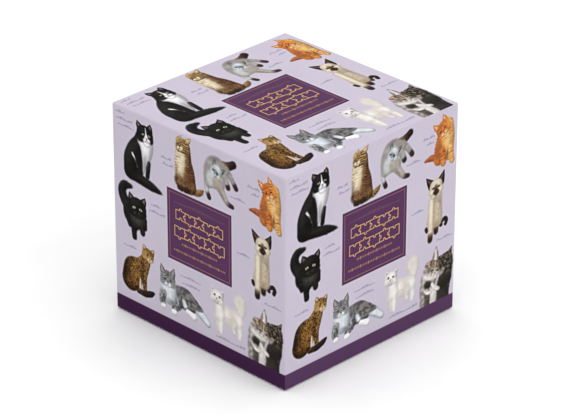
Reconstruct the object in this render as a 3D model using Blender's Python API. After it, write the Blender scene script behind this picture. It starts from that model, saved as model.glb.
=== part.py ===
"""Boxed jigsaw puzzle: a rigid card box whose full-depth lid slides down over an open tray, with a
sealed bag of die-cut pieces in the tray.

Units are metres and +Z is up. The origin is the centre of the base, on the table. The sides of the box
face -Y (front), -X, +Y and +X. The lid and the bag of pieces both lift along +Z.
"""

import math

import bmesh
import bpy
import numpy as np
from mathutils import Matrix, Vector

MM = 0.001

# Box, measured over the printed paper
BOX_SIDE = 105.0 * MM
BOX_HEIGHT = 100.0 * MM
EDGE_RADIUS = 0.9 * MM
EDGE_STEPS = 3

# Sheets
BOARD = 1.5 * MM
PAPER = 0.25 * MM
STAY_PAPER = 0.12 * MM
GLUE_GAP = 0.05 * MM
FOLD_GAP = 0.1 * MM
WRAP_GAP = STAY_PAPER + 2 * GLUE_GAP
TURN_IN = 15.0 * MM
STAY_WIDTH = 18.0 * MM
STAY_END_GAP = 3.0 * MM

# Fit of the lid on the tray
SLIDING_GAP = 0.58 * MM
LID_REST_GAP = 0.3 * MM
LID_FOOT_GAP = 0.6 * MM
BASE_SHEET_MARGIN = 1.0 * MM

# Bag
BAG_FILM = 0.2 * MM
BAG_SIDE_GAP = 0.6 * MM
BAG_FLOOR_GAP = 0.3 * MM
BAG_CORNER_RADIUS = 6.0 * MM
BAG_TOP_ROUNDING = 4.0 * MM
BAG_CORNER_STEPS = 5
BAG_VENT_RADIUS = 2.5 * MM

# Puzzle: a picture of 38 by 26 cm, cut ten by ten
PUZZLE_COLUMNS = 10
PUZZLE_ROWS = 10
PIECE_WIDTH = 38.0 * MM
PIECE_DEPTH = 26.0 * MM
PIECE_THICKNESS = 1.9 * MM
KNOB_RADIUS = 3.1 * MM
KNOB_OFFSET = 3.2 * MM
KNOB_ANGLE = math.radians(140)
KNOB_STEPS = 4
NECK_HALF_WIDTH = 2.6 * MM
KNOB_DRIFT = 0.08
CUT_SEED = 26

# Loose pile of the pieces in the bag
PILE_SEED = 38
PILE_TRIES = 160
PILE_SHORTLIST = 24
PILE_CELL = 1.0 * MM
PILE_GAP = 0.3 * MM
PILE_MOST_TILT = 0.4
PILE_VOID_COST = 0.8
FACE_DOWN_SHARE = 0.35
BLOCK_SKEW = math.radians(1.5)

# Values that follow from those above
LID_HALF = BOX_SIDE / 2
LID_BOARD_HALF = LID_HALF - PAPER - WRAP_GAP
LID_BOARD_INNER = LID_BOARD_HALF - BOARD
LID_TURN_IN_INNER = LID_BOARD_INNER - FOLD_GAP - PAPER
LID_BOARD_TOP = BOX_HEIGHT - PAPER - WRAP_GAP
LID_CEILING = LID_BOARD_TOP - BOARD
TRAY_HALF = LID_TURN_IN_INNER - SLIDING_GAP
TRAY_BOARD_HALF = TRAY_HALF - PAPER - WRAP_GAP
TRAY_BOARD_INNER = TRAY_BOARD_HALF - BOARD
TRAY_TURN_IN_INNER = TRAY_BOARD_INNER - FOLD_GAP - PAPER
TRAY_TOP = LID_CEILING - LID_REST_GAP
TRAY_BOARD_TOP = TRAY_TOP - PAPER - FOLD_GAP
TRAY_WRAP_BOTTOM = PAPER + FOLD_GAP
TRAY_BOARD_BOTTOM = TRAY_WRAP_BOTTOM + PAPER + FOLD_GAP
TRAY_FLOOR = TRAY_BOARD_BOTTOM + BOARD
BAG_HALF = TRAY_TURN_IN_INNER - BAG_SIDE_GAP
BAG_BOTTOM = TRAY_FLOOR + BAG_FLOOR_GAP
BAG_INNER_HALF = BAG_HALF - BAG_FILM


def clear_scene():
    for obj in list(bpy.data.objects):
        bpy.data.objects.remove(obj, do_unlink=True)


def material(name, colour, roughness, alpha=1.0):
    made = bpy.data.materials.new(name)
    made.use_nodes = True
    shader = made.node_tree.nodes["Principled BSDF"]
    shader.inputs["Base Color"].default_value = (*colour, 1.0)
    shader.inputs["Roughness"].default_value = roughness
    shader.inputs["Metallic"].default_value = 0.0
    shader.inputs["Alpha"].default_value = alpha
    return made


def empty(name, height):
    made = bpy.data.objects.new(name, None)
    made.location = (0.0, 0.0, height)
    bpy.context.scene.collection.objects.link(made)
    return made


def add_object(name, mesh, finish, parent):
    made = bpy.data.objects.new(name, mesh)
    mesh.materials.append(finish)
    bpy.context.scene.collection.objects.link(made)
    made.parent = parent
    made.matrix_parent_inverse = Matrix.Translation(-parent.location)
    return made


def square_ring(half, height, radius, steps=EDGE_STEPS):
    """The points of a square with round corners, anticlockwise from above."""
    centre = half - radius
    points = []
    for turn, (side_x, side_y) in enumerate(((1, 1), (-1, 1), (-1, -1), (1, -1))):
        for step in range(steps + 1):
            angle = math.pi / 2 * (turn + step / steps)
            x = side_x * centre + radius * math.cos(angle)
            y = side_y * centre + radius * math.sin(angle)
            points.append((x, y, height))
    return points


def ring_mesh(name, rings, closed=False):
    """A skin over a row of rings, with its two ends capped, or joined to each other where closed."""
    count = len(rings[0])
    points = [point for ring in rings for point in ring]
    pairs = list(zip(range(len(rings) - 1), range(1, len(rings))))
    if closed:
        pairs.append((len(rings) - 1, 0))
    faces = []
    for first, second in pairs:
        for step in range(count):
            following = (step + 1) % count
            faces.append((
                first * count + step,
                first * count + following,
                second * count + following,
                second * count + step,
            ))
    if not closed:
        faces.append(tuple(reversed(range(count))))
        faces.append(tuple(range(len(points) - count, len(points))))
    mesh = bpy.data.meshes.new(name)
    mesh.from_pydata(points, [], faces)
    facing_out(mesh)
    return mesh


def extruded_mesh(name, outline, bottom, top):
    """A flat outline made into a solid plate between two heights."""
    count = len(outline)
    points = [(x, y, bottom) for x, y in outline] + [(x, y, top) for x, y in outline]
    faces = [tuple(reversed(range(count))), tuple(range(count, 2 * count))]
    for step in range(count):
        following = (step + 1) % count
        faces.append((step, following, count + following, count + step))
    mesh = bpy.data.meshes.new(name)
    mesh.from_pydata(points, [], faces)
    facing_out(mesh)
    return mesh


def facing_out(mesh):
    work = bmesh.new()
    work.from_mesh(mesh)
    bmesh.ops.recalc_face_normals(work, faces=work.faces)
    work.to_mesh(mesh)
    work.free()


def corner_radius(half, outer_half):
    """Corners stay concentric through the layers of a wall."""
    return max(EDGE_RADIUS - (outer_half - half), 0.12 * MM)


def rounded_edge(outer_half, top):
    """(half, height) down a rounded edge between a face at this height and the wall."""
    found = []
    for step in range(EDGE_STEPS + 1):
        angle = math.pi / 2 * step / EDGE_STEPS
        half = outer_half - EDGE_RADIUS * (1 - math.sin(angle))
        found.append((half, top - EDGE_RADIUS * (1 - math.cos(angle))))
    return found


def rings_of(profile, outer_half):
    return [square_ring(half, height, corner_radius(half, outer_half)) for half, height in profile]


def corner_stay(name, board_half, outer_half, bottom, top, quarter):
    """A strip of paper folded round one upright corner of the board."""
    centre = outer_half - EDGE_RADIUS
    inner = board_half - centre + GLUE_GAP
    outer = inner + STAY_PAPER
    leg = centre - STAY_WIDTH
    angles = [math.pi / 2 * step / EDGE_STEPS for step in range(EDGE_STEPS + 1)]
    outline = [(centre + outer, leg)]
    outline += [(centre + outer * math.cos(a), centre + outer * math.sin(a)) for a in angles]
    outline += [(leg, centre + outer), (leg, centre + inner)]
    outline += [(centre + inner * math.cos(a), centre + inner * math.sin(a)) for a in reversed(angles)]
    outline += [(centre + inner, leg)]
    turn = Matrix.Rotation(quarter * math.pi / 2, 2)
    turned = [tuple(turn @ Vector(point)) for point in outline]
    return extruded_mesh(name, turned, bottom, top)


def build_lid(parent):
    printed = material("printed_lid_paper", (0.58, 0.53, 0.64), 0.45)
    greyboard = material("lid_greyboard", (0.42, 0.39, 0.35), 0.9)
    stay_paper = material("lid_stay_paper", (0.75, 0.72, 0.66), 0.85)

    rim = LID_FOOT_GAP
    wrap = rounded_edge(LID_HALF, BOX_HEIGHT)
    wrap += [
        (LID_HALF, rim),
        (LID_TURN_IN_INNER, rim),
        (LID_TURN_IN_INNER, rim + TURN_IN),
        (LID_TURN_IN_INNER + PAPER, rim + TURN_IN),
        (LID_TURN_IN_INNER + PAPER, rim + PAPER),
        (LID_HALF - PAPER, rim + PAPER),
        (LID_HALF - PAPER, BOX_HEIGHT - EDGE_RADIUS),
        (LID_HALF - EDGE_RADIUS, BOX_HEIGHT - PAPER),
    ]
    wrap_mesh = ring_mesh("lid_wrap", rings_of(wrap, LID_HALF))
    add_object("lid_wrap", wrap_mesh, printed, parent)

    board_rim = rim + PAPER + FOLD_GAP
    # The top edge is pared back, so that the rounded wrap clears it.
    board = [
        (LID_BOARD_HALF - 0.5 * EDGE_RADIUS, LID_BOARD_TOP),
        (LID_BOARD_HALF, LID_BOARD_TOP - 0.5 * EDGE_RADIUS),
        (LID_BOARD_HALF, board_rim),
        (LID_BOARD_INNER, board_rim),
        (LID_BOARD_INNER, LID_CEILING),
    ]
    board_mesh = ring_mesh("lid_board", rings_of(board, LID_HALF))
    add_object("lid_board", board_mesh, greyboard, parent)

    for quarter in range(4):
        name = f"lid_corner_stay_{quarter + 1}"
        low = board_rim + STAY_END_GAP
        high = LID_BOARD_TOP - STAY_END_GAP
        mesh = corner_stay(name, LID_BOARD_HALF, LID_HALF, low, high, quarter)
        add_object(name, mesh, stay_paper, parent)


def build_tray(parent):
    plain = material("plain_tray_paper", (0.085, 0.036, 0.095), 0.5)
    greyboard = material("tray_greyboard", (0.42, 0.39, 0.35), 0.9)
    stay_paper = material("tray_stay_paper", (0.75, 0.72, 0.66), 0.85)

    under = TRAY_HALF - TURN_IN
    wrap = rounded_edge(TRAY_HALF, TRAY_TOP)[::-1]
    wrap += [
        (TRAY_TURN_IN_INNER, TRAY_TOP),
        (TRAY_TURN_IN_INNER, TRAY_TOP - TURN_IN),
        (TRAY_TURN_IN_INNER + PAPER, TRAY_TOP - TURN_IN),
        (TRAY_TURN_IN_INNER + PAPER, TRAY_TOP - PAPER),
        (TRAY_HALF - EDGE_RADIUS, TRAY_TOP - PAPER),
        (TRAY_HALF - PAPER, TRAY_TOP - EDGE_RADIUS),
        (TRAY_HALF - PAPER, TRAY_WRAP_BOTTOM + PAPER),
        (under, TRAY_WRAP_BOTTOM + PAPER),
        (under, TRAY_WRAP_BOTTOM),
        (TRAY_HALF, TRAY_WRAP_BOTTOM),
    ]
    wrap_mesh = ring_mesh("tray_wrap", rings_of(wrap, TRAY_HALF), closed=True)
    add_object("tray_wrap", wrap_mesh, plain, parent)

    board = [
        (TRAY_BOARD_HALF, TRAY_BOARD_BOTTOM),
        (TRAY_BOARD_HALF, TRAY_BOARD_TOP - 0.5 * EDGE_RADIUS),
        (TRAY_BOARD_HALF - 0.5 * EDGE_RADIUS, TRAY_BOARD_TOP),
        (TRAY_BOARD_INNER, TRAY_BOARD_TOP),
        (TRAY_BOARD_INNER, TRAY_FLOOR),
    ]
    board_mesh = ring_mesh("tray_board", rings_of(board, TRAY_HALF))
    add_object("tray_board", board_mesh, greyboard, parent)

    sheet = [(TRAY_HALF - BASE_SHEET_MARGIN, 0.0), (TRAY_HALF - BASE_SHEET_MARGIN, PAPER)]
    sheet_mesh = ring_mesh("tray_base_sheet", rings_of(sheet, TRAY_HALF))
    add_object("tray_base_sheet", sheet_mesh, plain, parent)

    for quarter in range(4):
        name = f"tray_corner_stay_{quarter + 1}"
        low = TRAY_BOARD_BOTTOM + STAY_END_GAP
        high = TRAY_BOARD_TOP - STAY_END_GAP
        mesh = corner_stay(name, TRAY_BOARD_HALF, TRAY_HALF, low, high, quarter)
        add_object(name, mesh, stay_paper, parent)


def build_bag(pile_top, parent):
    """A clear film bag round the pile, with the air hole in its top."""
    film = material("clear_bag_film", (0.92, 0.93, 0.95), 0.15, alpha=0.3)

    def skin(half, bottom, top, rounding):
        steps = BAG_CORNER_STEPS
        rings = [square_ring(half, bottom, BAG_CORNER_RADIUS, steps)]
        rings.append(square_ring(half, top - rounding, BAG_CORNER_RADIUS, steps))
        rings.append(square_ring(half - 0.3 * rounding, top - 0.3 * rounding, BAG_CORNER_RADIUS, steps))
        rings.append(square_ring(half - rounding, top, BAG_CORNER_RADIUS, steps))
        rings.append(square_ring(BAG_VENT_RADIUS, top, BAG_VENT_RADIUS, steps))
        return rings

    top = pile_top + PILE_GAP + BAG_FILM
    outside = skin(BAG_HALF, BAG_BOTTOM, top, BAG_TOP_ROUNDING)
    inside = skin(BAG_INNER_HALF, BAG_BOTTOM + BAG_FILM, top - BAG_FILM, BAG_TOP_ROUNDING)
    mesh = ring_mesh("pieces_bag", outside + list(reversed(inside)))
    add_object("pieces_bag", mesh, film, parent)


class CutLines:
    """The die's wavy grid. A knob on a line points to one side or the other, a little off centre."""

    def __init__(self):
        draw = np.random.default_rng(CUT_SEED)
        across = (PUZZLE_ROWS + 1, PUZZLE_COLUMNS)
        upright = (PUZZLE_ROWS, PUZZLE_COLUMNS + 1)
        self.sides = {"across": draw.choice((-1, 1), across), "upright": draw.choice((-1, 1), upright)}
        self.drift = {
            "across": draw.uniform(-KNOB_DRIFT, KNOB_DRIFT, across),
            "upright": draw.uniform(-KNOB_DRIFT, KNOB_DRIFT, upright),
        }

    def corner(self, row, column):
        return (column * PIECE_WIDTH, row * PIECE_DEPTH)

    def between(self, kind, row, column):
        """The points between the two corners of one line, from low to high x or y."""
        if (kind == "across" and row in (0, PUZZLE_ROWS)) or (
            kind == "upright" and column in (0, PUZZLE_COLUMNS)
        ):
            return []
        side = self.sides[kind][row, column]
        length = PIECE_WIDTH if kind == "across" else PIECE_DEPTH
        middle = length * (0.5 + self.drift[kind][row, column])
        found = [(middle - NECK_HALF_WIDTH, 0.0)]
        for step in range(KNOB_STEPS + 1):
            angle = -KNOB_ANGLE + 2 * KNOB_ANGLE * step / KNOB_STEPS
            along = middle + KNOB_RADIUS * math.sin(angle)
            found.append((along, side * (KNOB_OFFSET + KNOB_RADIUS * math.cos(angle))))
        found.append((middle + NECK_HALF_WIDTH, 0.0))
        start_x, start_y = self.corner(row, column)
        if kind == "across":
            return [(start_x + along, start_y + off) for along, off in found]
        return [(start_x + off, start_y + along) for along, off in found]

    def outline(self, row, column, rows, columns):
        """The outline of a rectangle of joined pieces, anticlockwise."""
        found = []
        for c in range(column, column + columns):
            found += [self.corner(row, c)] + self.between("across", row, c)
        for r in range(row, row + rows):
            found += [self.corner(r, column + columns)] + self.between("upright", r, column + columns)
        for c in reversed(range(column, column + columns)):
            found += [self.corner(row + rows, c + 1)] + self.between("across", row + rows, c)[::-1]
        for r in reversed(range(row, row + rows)):
            found += [self.corner(r + 1, column)] + self.between("upright", r, column)[::-1]
        return np.array(found)


# How the cut picture breaks up: (first row, rows, columns of each block along the band)
BLOCK_BANDS = (
    (0, 3, (2, 2, 2, 2, 2)),
    (5, 3, (2, 2, 2, 2, 2)),
)
LOOSE_BANDS = (
    (3, (1, 2, 1, 1, 1, 1, 1, 1, 1, 1)),
    (8, (1, 1, 1, 1, 1, 2, 1, 1, 2, 2)),
)


def joined_blocks():
    """(row, column, rows, columns) of the large blocks that stay joined at the bottom of the bag."""
    found = []
    for row, rows, widths in BLOCK_BANDS:
        for place, columns in enumerate(widths):
            found.append((row, sum(widths[:place]), rows, columns))
    return found


def loose_pieces():
    """The same for what came apart: in each column of a two-row band, two pieces or one upright pair."""
    found = []
    for row, joined in LOOSE_BANDS:
        for column, rows in enumerate(joined):
            found += [(row + step, column, rows, 1) for step in range(0, 2, rows)]
    return found


class Pile:
    """Drops plates one by one on a field of heights. Each comes to rest on the plane that holds its middle lowest."""

    def __init__(self, half, floor):
        self.half = half
        count = int(round(2 * half / PILE_CELL)) + 5
        self.line = (np.arange(count) - (count - 1) / 2) * PILE_CELL
        self.heights = np.full((count, count), floor)

    def cells_under(self, outline):
        """The two indices of each cell inside the outline or beside one that is."""
        low = np.searchsorted(self.line, outline.min(axis=0)) - 2
        high = np.searchsorted(self.line, outline.max(axis=0)) + 2
        x, y = np.meshgrid(self.line[low[0]:high[0]], self.line[low[1]:high[1]], indexing="ij")
        inside = np.zeros(x.shape, bool)
        for (ax, ay), (bx, by) in zip(outline, np.roll(outline, -1, axis=0)):
            if ay == by:
                continue
            crosses = (ay > y) != (by > y)
            inside ^= crosses & (x < ax + (bx - ax) * (y - ay) / (by - ay))
        wide = inside.copy()
        wide[1:] |= inside[:-1]
        wide[:-1] |= inside[1:]
        inside = wide.copy()
        inside[:, 1:] |= wide[:, :-1]
        inside[:, :-1] |= wide[:, 1:]
        i, j = np.nonzero(inside)
        return i + low[0], j + low[1]

    def resting_plane(self, cells, middle):
        """(slope in x, slope in y, height at the middle, mean space under it) of the lowest plane over the cells."""
        i, j = cells
        dx = self.line[i] - middle[0]
        dy = self.line[j] - middle[1]
        under = self.heights[i, j]
        best = (0.0, 0.0)
        step = PILE_MOST_TILT / 2
        offsets = np.array([(a, b) for a in (-1, 0, 1) for b in (-1, 0, 1)])
        for _ in range(9):
            slopes = np.clip(np.array(best) + step * offsets, -PILE_MOST_TILT, PILE_MOST_TILT)
            highest = (under[None] - slopes[:, :1] * dx[None] - slopes[:, 1:] * dy[None]).max(axis=1)
            chosen = int(np.argmin(highest))
            best = tuple(slopes[chosen])
            if chosen == 4:
                step /= 2
        height = float(highest[chosen])
        space = float((height + best[0] * dx + best[1] * dy - under).mean())
        return best[0], best[1], height, space

    def placed(self, slope_x, slope_y, height, middle, yaw, face_down):
        """The matrix that lays a plate, whose own underside is at z = 0, on that plane."""
        normal = Vector((-slope_x, -slope_y, 1.0)).normalized()
        tilt = Vector((0, 0, 1)).rotation_difference(normal).to_matrix().to_4x4()
        turn = Matrix.Rotation(yaw, 4, "Z")
        flip = Matrix.Identity(4)
        if face_down:
            flip = Matrix.Translation((0, 0, PIECE_THICKNESS)) @ Matrix.Rotation(math.pi, 4, "X")
        return Matrix.Translation((middle[0], middle[1], height)) @ tilt @ turn @ flip

    def fits(self, world):
        """Whether a plate's points all lie inside the bag's round-cornered walls."""
        straight = self.half - BAG_CORNER_RADIUS
        over = np.maximum(np.abs(world[:, :2]) - straight, 0.0)
        return bool((np.hypot(over[:, 0], over[:, 1]) <= BAG_CORNER_RADIUS).all())

    def places_for(self, flat, square_on, face_down, draw):
        """Some places for one plate, as (mean height under it, number, middle, yaw, cells under it)."""
        places = []
        while len(places) < PILE_TRIES:
            yaw = draw.uniform(0, 2 * math.pi)
            if square_on:
                yaw = math.pi / 2 * draw.integers(4) + draw.uniform(-BLOCK_SKEW, BLOCK_SKEW)
            ground = (flat @ np.array(self.placed(0, 0, 0, (0, 0), yaw, face_down)).T)[:, :2]
            low = -self.half - ground.min(axis=0)
            high = self.half - ground.max(axis=0)
            middle = low + (high - low) * draw.random(2)
            ground = ground + middle
            if (high > low).all() and self.fits(ground):
                cells = self.cells_under(ground)
                places.append((self.heights[cells].mean(), len(places), middle, yaw, cells))
        return places

    def drop(self, outline, square_on, draw):
        """The best of some places for one plate, as its matrix. The pile grows by it."""
        face_down = draw.random() < FACE_DOWN_SHARE
        flat = np.column_stack([outline, np.zeros(len(outline)), np.ones(len(outline))])
        places = self.places_for(flat, square_on, face_down, draw)
        best = None
        for _, _, middle, yaw, cells in sorted(places, key=lambda place: place[:2])[:PILE_SHORTLIST]:
            plane = self.resting_plane(cells, middle)
            cost = plane[2] + PILE_VOID_COST * plane[3]
            if best is None or cost < best[0]:
                best = (cost, plane, middle, yaw, cells)
        _, (slope_x, slope_y, height, _), middle, yaw, (i, j) = best
        steepness = math.hypot(slope_x, slope_y)
        margin = PILE_GAP + steepness * PILE_CELL
        matrix = self.placed(slope_x, slope_y, height + margin, middle, yaw, face_down)
        rise = PIECE_THICKNESS * math.sqrt(1 + steepness**2) + margin
        plane_height = height + slope_x * (self.line[i] - middle[0]) + slope_y * (self.line[j] - middle[1])
        self.heights[i, j] = np.maximum(self.heights[i, j], plane_height + rise)
        return matrix


def build_pieces(parent):
    """Every block of pieces, dropped into the bag in a mixed order. Gives the height of the pile."""
    board = material("printed_puzzle_board", (0.55, 0.47, 0.5), 0.4)
    draw = np.random.default_rng(PILE_SEED)
    cuts = CutLines()
    pile = Pile(BAG_INNER_HALF - PILE_GAP, BAG_BOTTOM + BAG_FILM)
    top = 0.0
    blocks = list(draw.permutation(joined_blocks())) + list(draw.permutation(loose_pieces()))
    for row, column, rows, columns in blocks:
        outline = cuts.outline(row, column, rows, columns)
        outline -= np.array(cuts.corner(row + rows / 2, column + columns / 2))
        count = rows * columns
        kind = "jigsaw_piece" if count == 1 else f"joined_pieces_{rows}x{columns}"
        name = f"{kind}_r{row}_c{column}"
        mesh = extruded_mesh(name, [tuple(point) for point in outline], 0.0, PIECE_THICKNESS)
        piece = add_object(name, mesh, board, parent)
        piece.matrix_basis = pile.drop(outline, columns > 1, draw)
        top = max(top, max((piece.matrix_basis @ vertex.co).z for vertex in mesh.vertices))
    return top


clear_scene()
tray = empty("tray", 0.0)
lid = empty("lid", LID_FOOT_GAP)
contents = empty("contents", BAG_BOTTOM)
build_lid(lid)
build_tray(tray)
pile_top = build_pieces(contents)
build_bag(pile_top, contents)
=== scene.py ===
"""Looks of a boxed jigsaw puzzle: a cube box whose printed lid slides down over a dark tray, with a clear
bag of pieces inside.

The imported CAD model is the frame. The lid's printed paper, the tray's wrap, the pieces and the bag are
rebuilt here in finer meshes, and the board, stays and base sheet keep their CAD meshes.
Lengths are metres, unless a name or comment says millimetres. The printed picture is painted in code.
"""

import math
import re

import bmesh
import bpy
import numpy as np
from mathutils import Matrix, Vector
from mathutils.geometry import delaunay_2d_cdt


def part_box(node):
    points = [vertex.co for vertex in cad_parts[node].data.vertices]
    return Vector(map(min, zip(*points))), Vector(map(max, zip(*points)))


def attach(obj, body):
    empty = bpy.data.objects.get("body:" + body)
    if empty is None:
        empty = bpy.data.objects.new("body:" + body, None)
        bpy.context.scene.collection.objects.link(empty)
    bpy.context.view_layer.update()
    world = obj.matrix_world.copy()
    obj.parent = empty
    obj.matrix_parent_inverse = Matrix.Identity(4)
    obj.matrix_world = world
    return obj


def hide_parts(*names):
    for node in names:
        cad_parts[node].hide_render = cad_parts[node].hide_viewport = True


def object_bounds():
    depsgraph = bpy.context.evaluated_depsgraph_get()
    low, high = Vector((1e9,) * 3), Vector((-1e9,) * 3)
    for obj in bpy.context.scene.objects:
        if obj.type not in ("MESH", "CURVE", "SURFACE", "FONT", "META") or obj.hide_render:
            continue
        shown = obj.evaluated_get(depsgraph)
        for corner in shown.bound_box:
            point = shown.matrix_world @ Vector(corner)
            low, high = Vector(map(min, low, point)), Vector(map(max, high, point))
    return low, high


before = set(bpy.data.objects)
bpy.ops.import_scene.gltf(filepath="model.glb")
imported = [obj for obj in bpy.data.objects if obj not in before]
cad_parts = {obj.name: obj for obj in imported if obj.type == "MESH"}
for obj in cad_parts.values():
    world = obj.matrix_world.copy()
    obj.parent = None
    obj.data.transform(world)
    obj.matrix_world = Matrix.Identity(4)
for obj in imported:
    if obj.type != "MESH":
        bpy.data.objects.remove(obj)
cad_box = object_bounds()

MM = 0.001


# ---------------------------------------------------------------------------
# Meshes and materials
# ---------------------------------------------------------------------------

CORNER_STEPS = 6


def in_scene(made):
    bpy.context.scene.collection.objects.link(made)
    return made


def new_object(name, points, faces):
    mesh = bpy.data.meshes.new(name)
    mesh.from_pydata([tuple(p) for p in points], [], [tuple(f) for f in faces])
    mesh.polygons.foreach_set("use_smooth", [True] * len(mesh.polygons))
    return in_scene(bpy.data.objects.new(name, mesh))


def square_ring(half, height, radius):
    """The points of a square with round corners, anticlockwise from above."""
    centre = half - radius
    points = []
    for turn, (side_x, side_y) in enumerate(((1, 1), (-1, 1), (-1, -1), (1, -1))):
        for step in range(CORNER_STEPS + 1):
            angle = math.pi / 2 * (turn + step / CORNER_STEPS)
            x, y = side_x * centre + radius * math.cos(angle), side_y * centre + radius * math.sin(angle)
            points.append((x, y, height))
    return points


def skin(rings, closed=False):
    """(points, faces) over a row of rings, its ends capped, or joined to each other where closed."""
    count = len(rings[0])
    points = [p for ring in rings for p in ring]
    faces = []
    for ring in range(len(rings) if closed else len(rings) - 1):
        a, b = ring * count, (ring + 1) % len(rings) * count
        for k in range(count):
            n = (k + 1) % count
            faces.append((a + k, a + n, b + n, b + k))
    if not closed:
        faces.append(tuple(reversed(range(count))))
        faces.append(tuple(range(len(points) - count, len(points))))
    return points, faces


def faced_out(obj):
    work = bmesh.new()
    work.from_mesh(obj.data)
    bmesh.ops.recalc_face_normals(work, faces=work.faces)
    work.to_mesh(obj.data)
    work.free()
    return obj


def set_colours(mesh, colours):
    """A linear colour for each vertex, from sRGB rows."""
    c = np.clip(np.asarray(colours, float), 0, 1)
    values = np.ones((len(mesh.vertices), 4), np.float32)
    values[:, :3] = np.where(c <= 0.04045, c / 12.92, ((c + 0.055) / 1.055) ** 2.4)
    layer = mesh.color_attributes.new("print", "FLOAT_COLOR", "POINT")
    layer.data.foreach_set("color", values.ravel())


class Nodes:
    """Short ways to add nodes to a material."""

    def __init__(self, name):
        self.material = bpy.data.materials.new(name)
        self.material.use_nodes = True
        self.tree = self.material.node_tree
        self.shader = self.tree.nodes["Principled BSDF"]

    def put(self, socket, value):
        if isinstance(value, bpy.types.NodeSocket):
            self.tree.links.new(value, socket)
        else:
            socket.default_value = value

    def put_all(self, node, sockets):
        for key, value in sockets.items():
            self.put(node.inputs[key.replace("_", " ")], value)
        return node

    def set(self, **sockets):
        self.put_all(self.shader, sockets)
        return self.material

    def add(self, kind, **sockets):
        return self.put_all(self.tree.nodes.new("ShaderNode" + kind), sockets)

    def place(self):
        return self.add("TexCoord").outputs["Object"]

    def attribute(self, name, output):
        made = self.add("Attribute")
        made.attribute_name = name
        return made.outputs[output]

    def noise(self, scale, detail, rough, at):
        return self.add("TexNoise", Scale=scale, Detail=detail, Roughness=rough, Vector=at).outputs["Fac"]

    def maths(self, kind, first, second=0.5):
        made = self.add("Math")
        made.operation = kind
        self.put(made.inputs[0], first)
        self.put(made.inputs[1], second)
        return made.outputs[0]

    def spread(self, value, low, high, out_low=0.0, out_high=1.0):
        made = self.add("MapRange", Value=value, From_Min=low, From_Max=high, To_Min=out_low, To_Max=out_high)
        return made.outputs["Result"]

    def mix(self, share, first, second, kind="MIX"):
        made = self.add("Mix")
        made.data_type = "RGBA"
        made.blend_type = kind
        for index, value in ((0, share), (6, first), (7, second)):
            self.put(made.inputs[index], (*value, 1.0) if isinstance(value, tuple) else value)
        return made.outputs[2]

    def bump(self, height, distance, strength=1.0):
        made = self.add("Bump", Strength=strength, Distance=distance, Height=height)
        self.set(Normal=made.outputs["Normal"])


def finish(name, colour, rough, grain, bump, fibre=None, **sockets):
    """A matt or satin surface. grain is (scale, share) of its colour's drift, bump (scale, height in mm), and
    fibre (scale, stretch, share, colour) of its strands."""
    n = Nodes(name)
    at = n.place()
    drift = n.noise(grain[0], 4.0, 0.6, at)
    dark = tuple(c * (1 - grain[1]) for c in colour)
    light = tuple(min(1.0, c * (1 + grain[1])) for c in colour)
    base = n.mix(n.spread(drift, 0.3, 0.7), dark, light)
    height = n.noise(bump[0], 4.0, 0.6, at)
    if fibre:
        scale, stretch, share, strand = fibre
        strands = n.noise(scale, 2.0, 0.5, n.add("Mapping", Vector=at, Scale=stretch).outputs["Vector"])
        base = n.mix(n.spread(strands, 0.60, 0.72, 0.0, share), base, strand)
        height = n.maths("ADD", height, strands)
    n.bump(height, bump[1] * MM)
    return n.set(Base_Color=base, Roughness=n.spread(drift, 0.3, 0.7, rough - 0.05, rough + 0.05), **sockets)


# ---------------------------------------------------------------------------
# Camera, floor and light
# ---------------------------------------------------------------------------

IMAGE_WIDTH = 580

# A camera fitted to the box's seven visible corners in the photograph
AZIMUTH = math.radians(-45.07)
ELEVATION = math.radians(26.986)
ROLL = math.radians(0.103)
DISTANCE = 1.3978
FOCAL_PIXELS = 3217.8
AIM_RIGHT = -0.00147
AIM_UP = 0.00389
SHIFT_RIGHT = 0.0026
SHIFT_UP = 0.0095
SENSOR_MM = 36.0
FAR_CLIP = 100

WORLD_LIGHT = 1.0
LAMP_TARGET = Vector((0, 0, 0.05))
LAMPS = (  # name, place, side of its square, power in watts
    ("key", (0.4, -1.5, 1.4), 1.2, 7.2),
    ("top", (0.0, 0.0, 1.9), 1.6, 7.4),
)
FLOOR_RADIUS = 6.0
FLOOR_SIDES = 96


def make_camera():
    reach = math.cos(ELEVATION)
    back = Vector((math.sin(AZIMUTH) * reach, -math.cos(AZIMUTH) * reach, math.sin(ELEVATION)))
    level = Vector((math.cos(AZIMUTH), math.sin(AZIMUTH), 0))
    rise = back.cross(level)
    right = level * math.cos(ROLL) + rise * math.sin(ROLL)
    up = rise * math.cos(ROLL) - level * math.sin(ROLL)
    low, high = (Vector(corner) for corner in cad_box)
    data = bpy.data.cameras.new("camera")
    data.sensor_width = SENSOR_MM
    data.lens = FOCAL_PIXELS / IMAGE_WIDTH * SENSOR_MM
    data.shift_x, data.shift_y = SHIFT_RIGHT, SHIFT_UP
    data.clip_end = FAR_CLIP
    camera = in_scene(bpy.data.objects.new("camera", data))
    place = (low + high) / 2 - right * AIM_RIGHT - up * AIM_UP + back * DISTANCE
    camera.matrix_world = Matrix.Translation(place) @ Matrix((right, up, back)).transposed().to_4x4()
    bpy.context.scene.camera = camera


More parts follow.
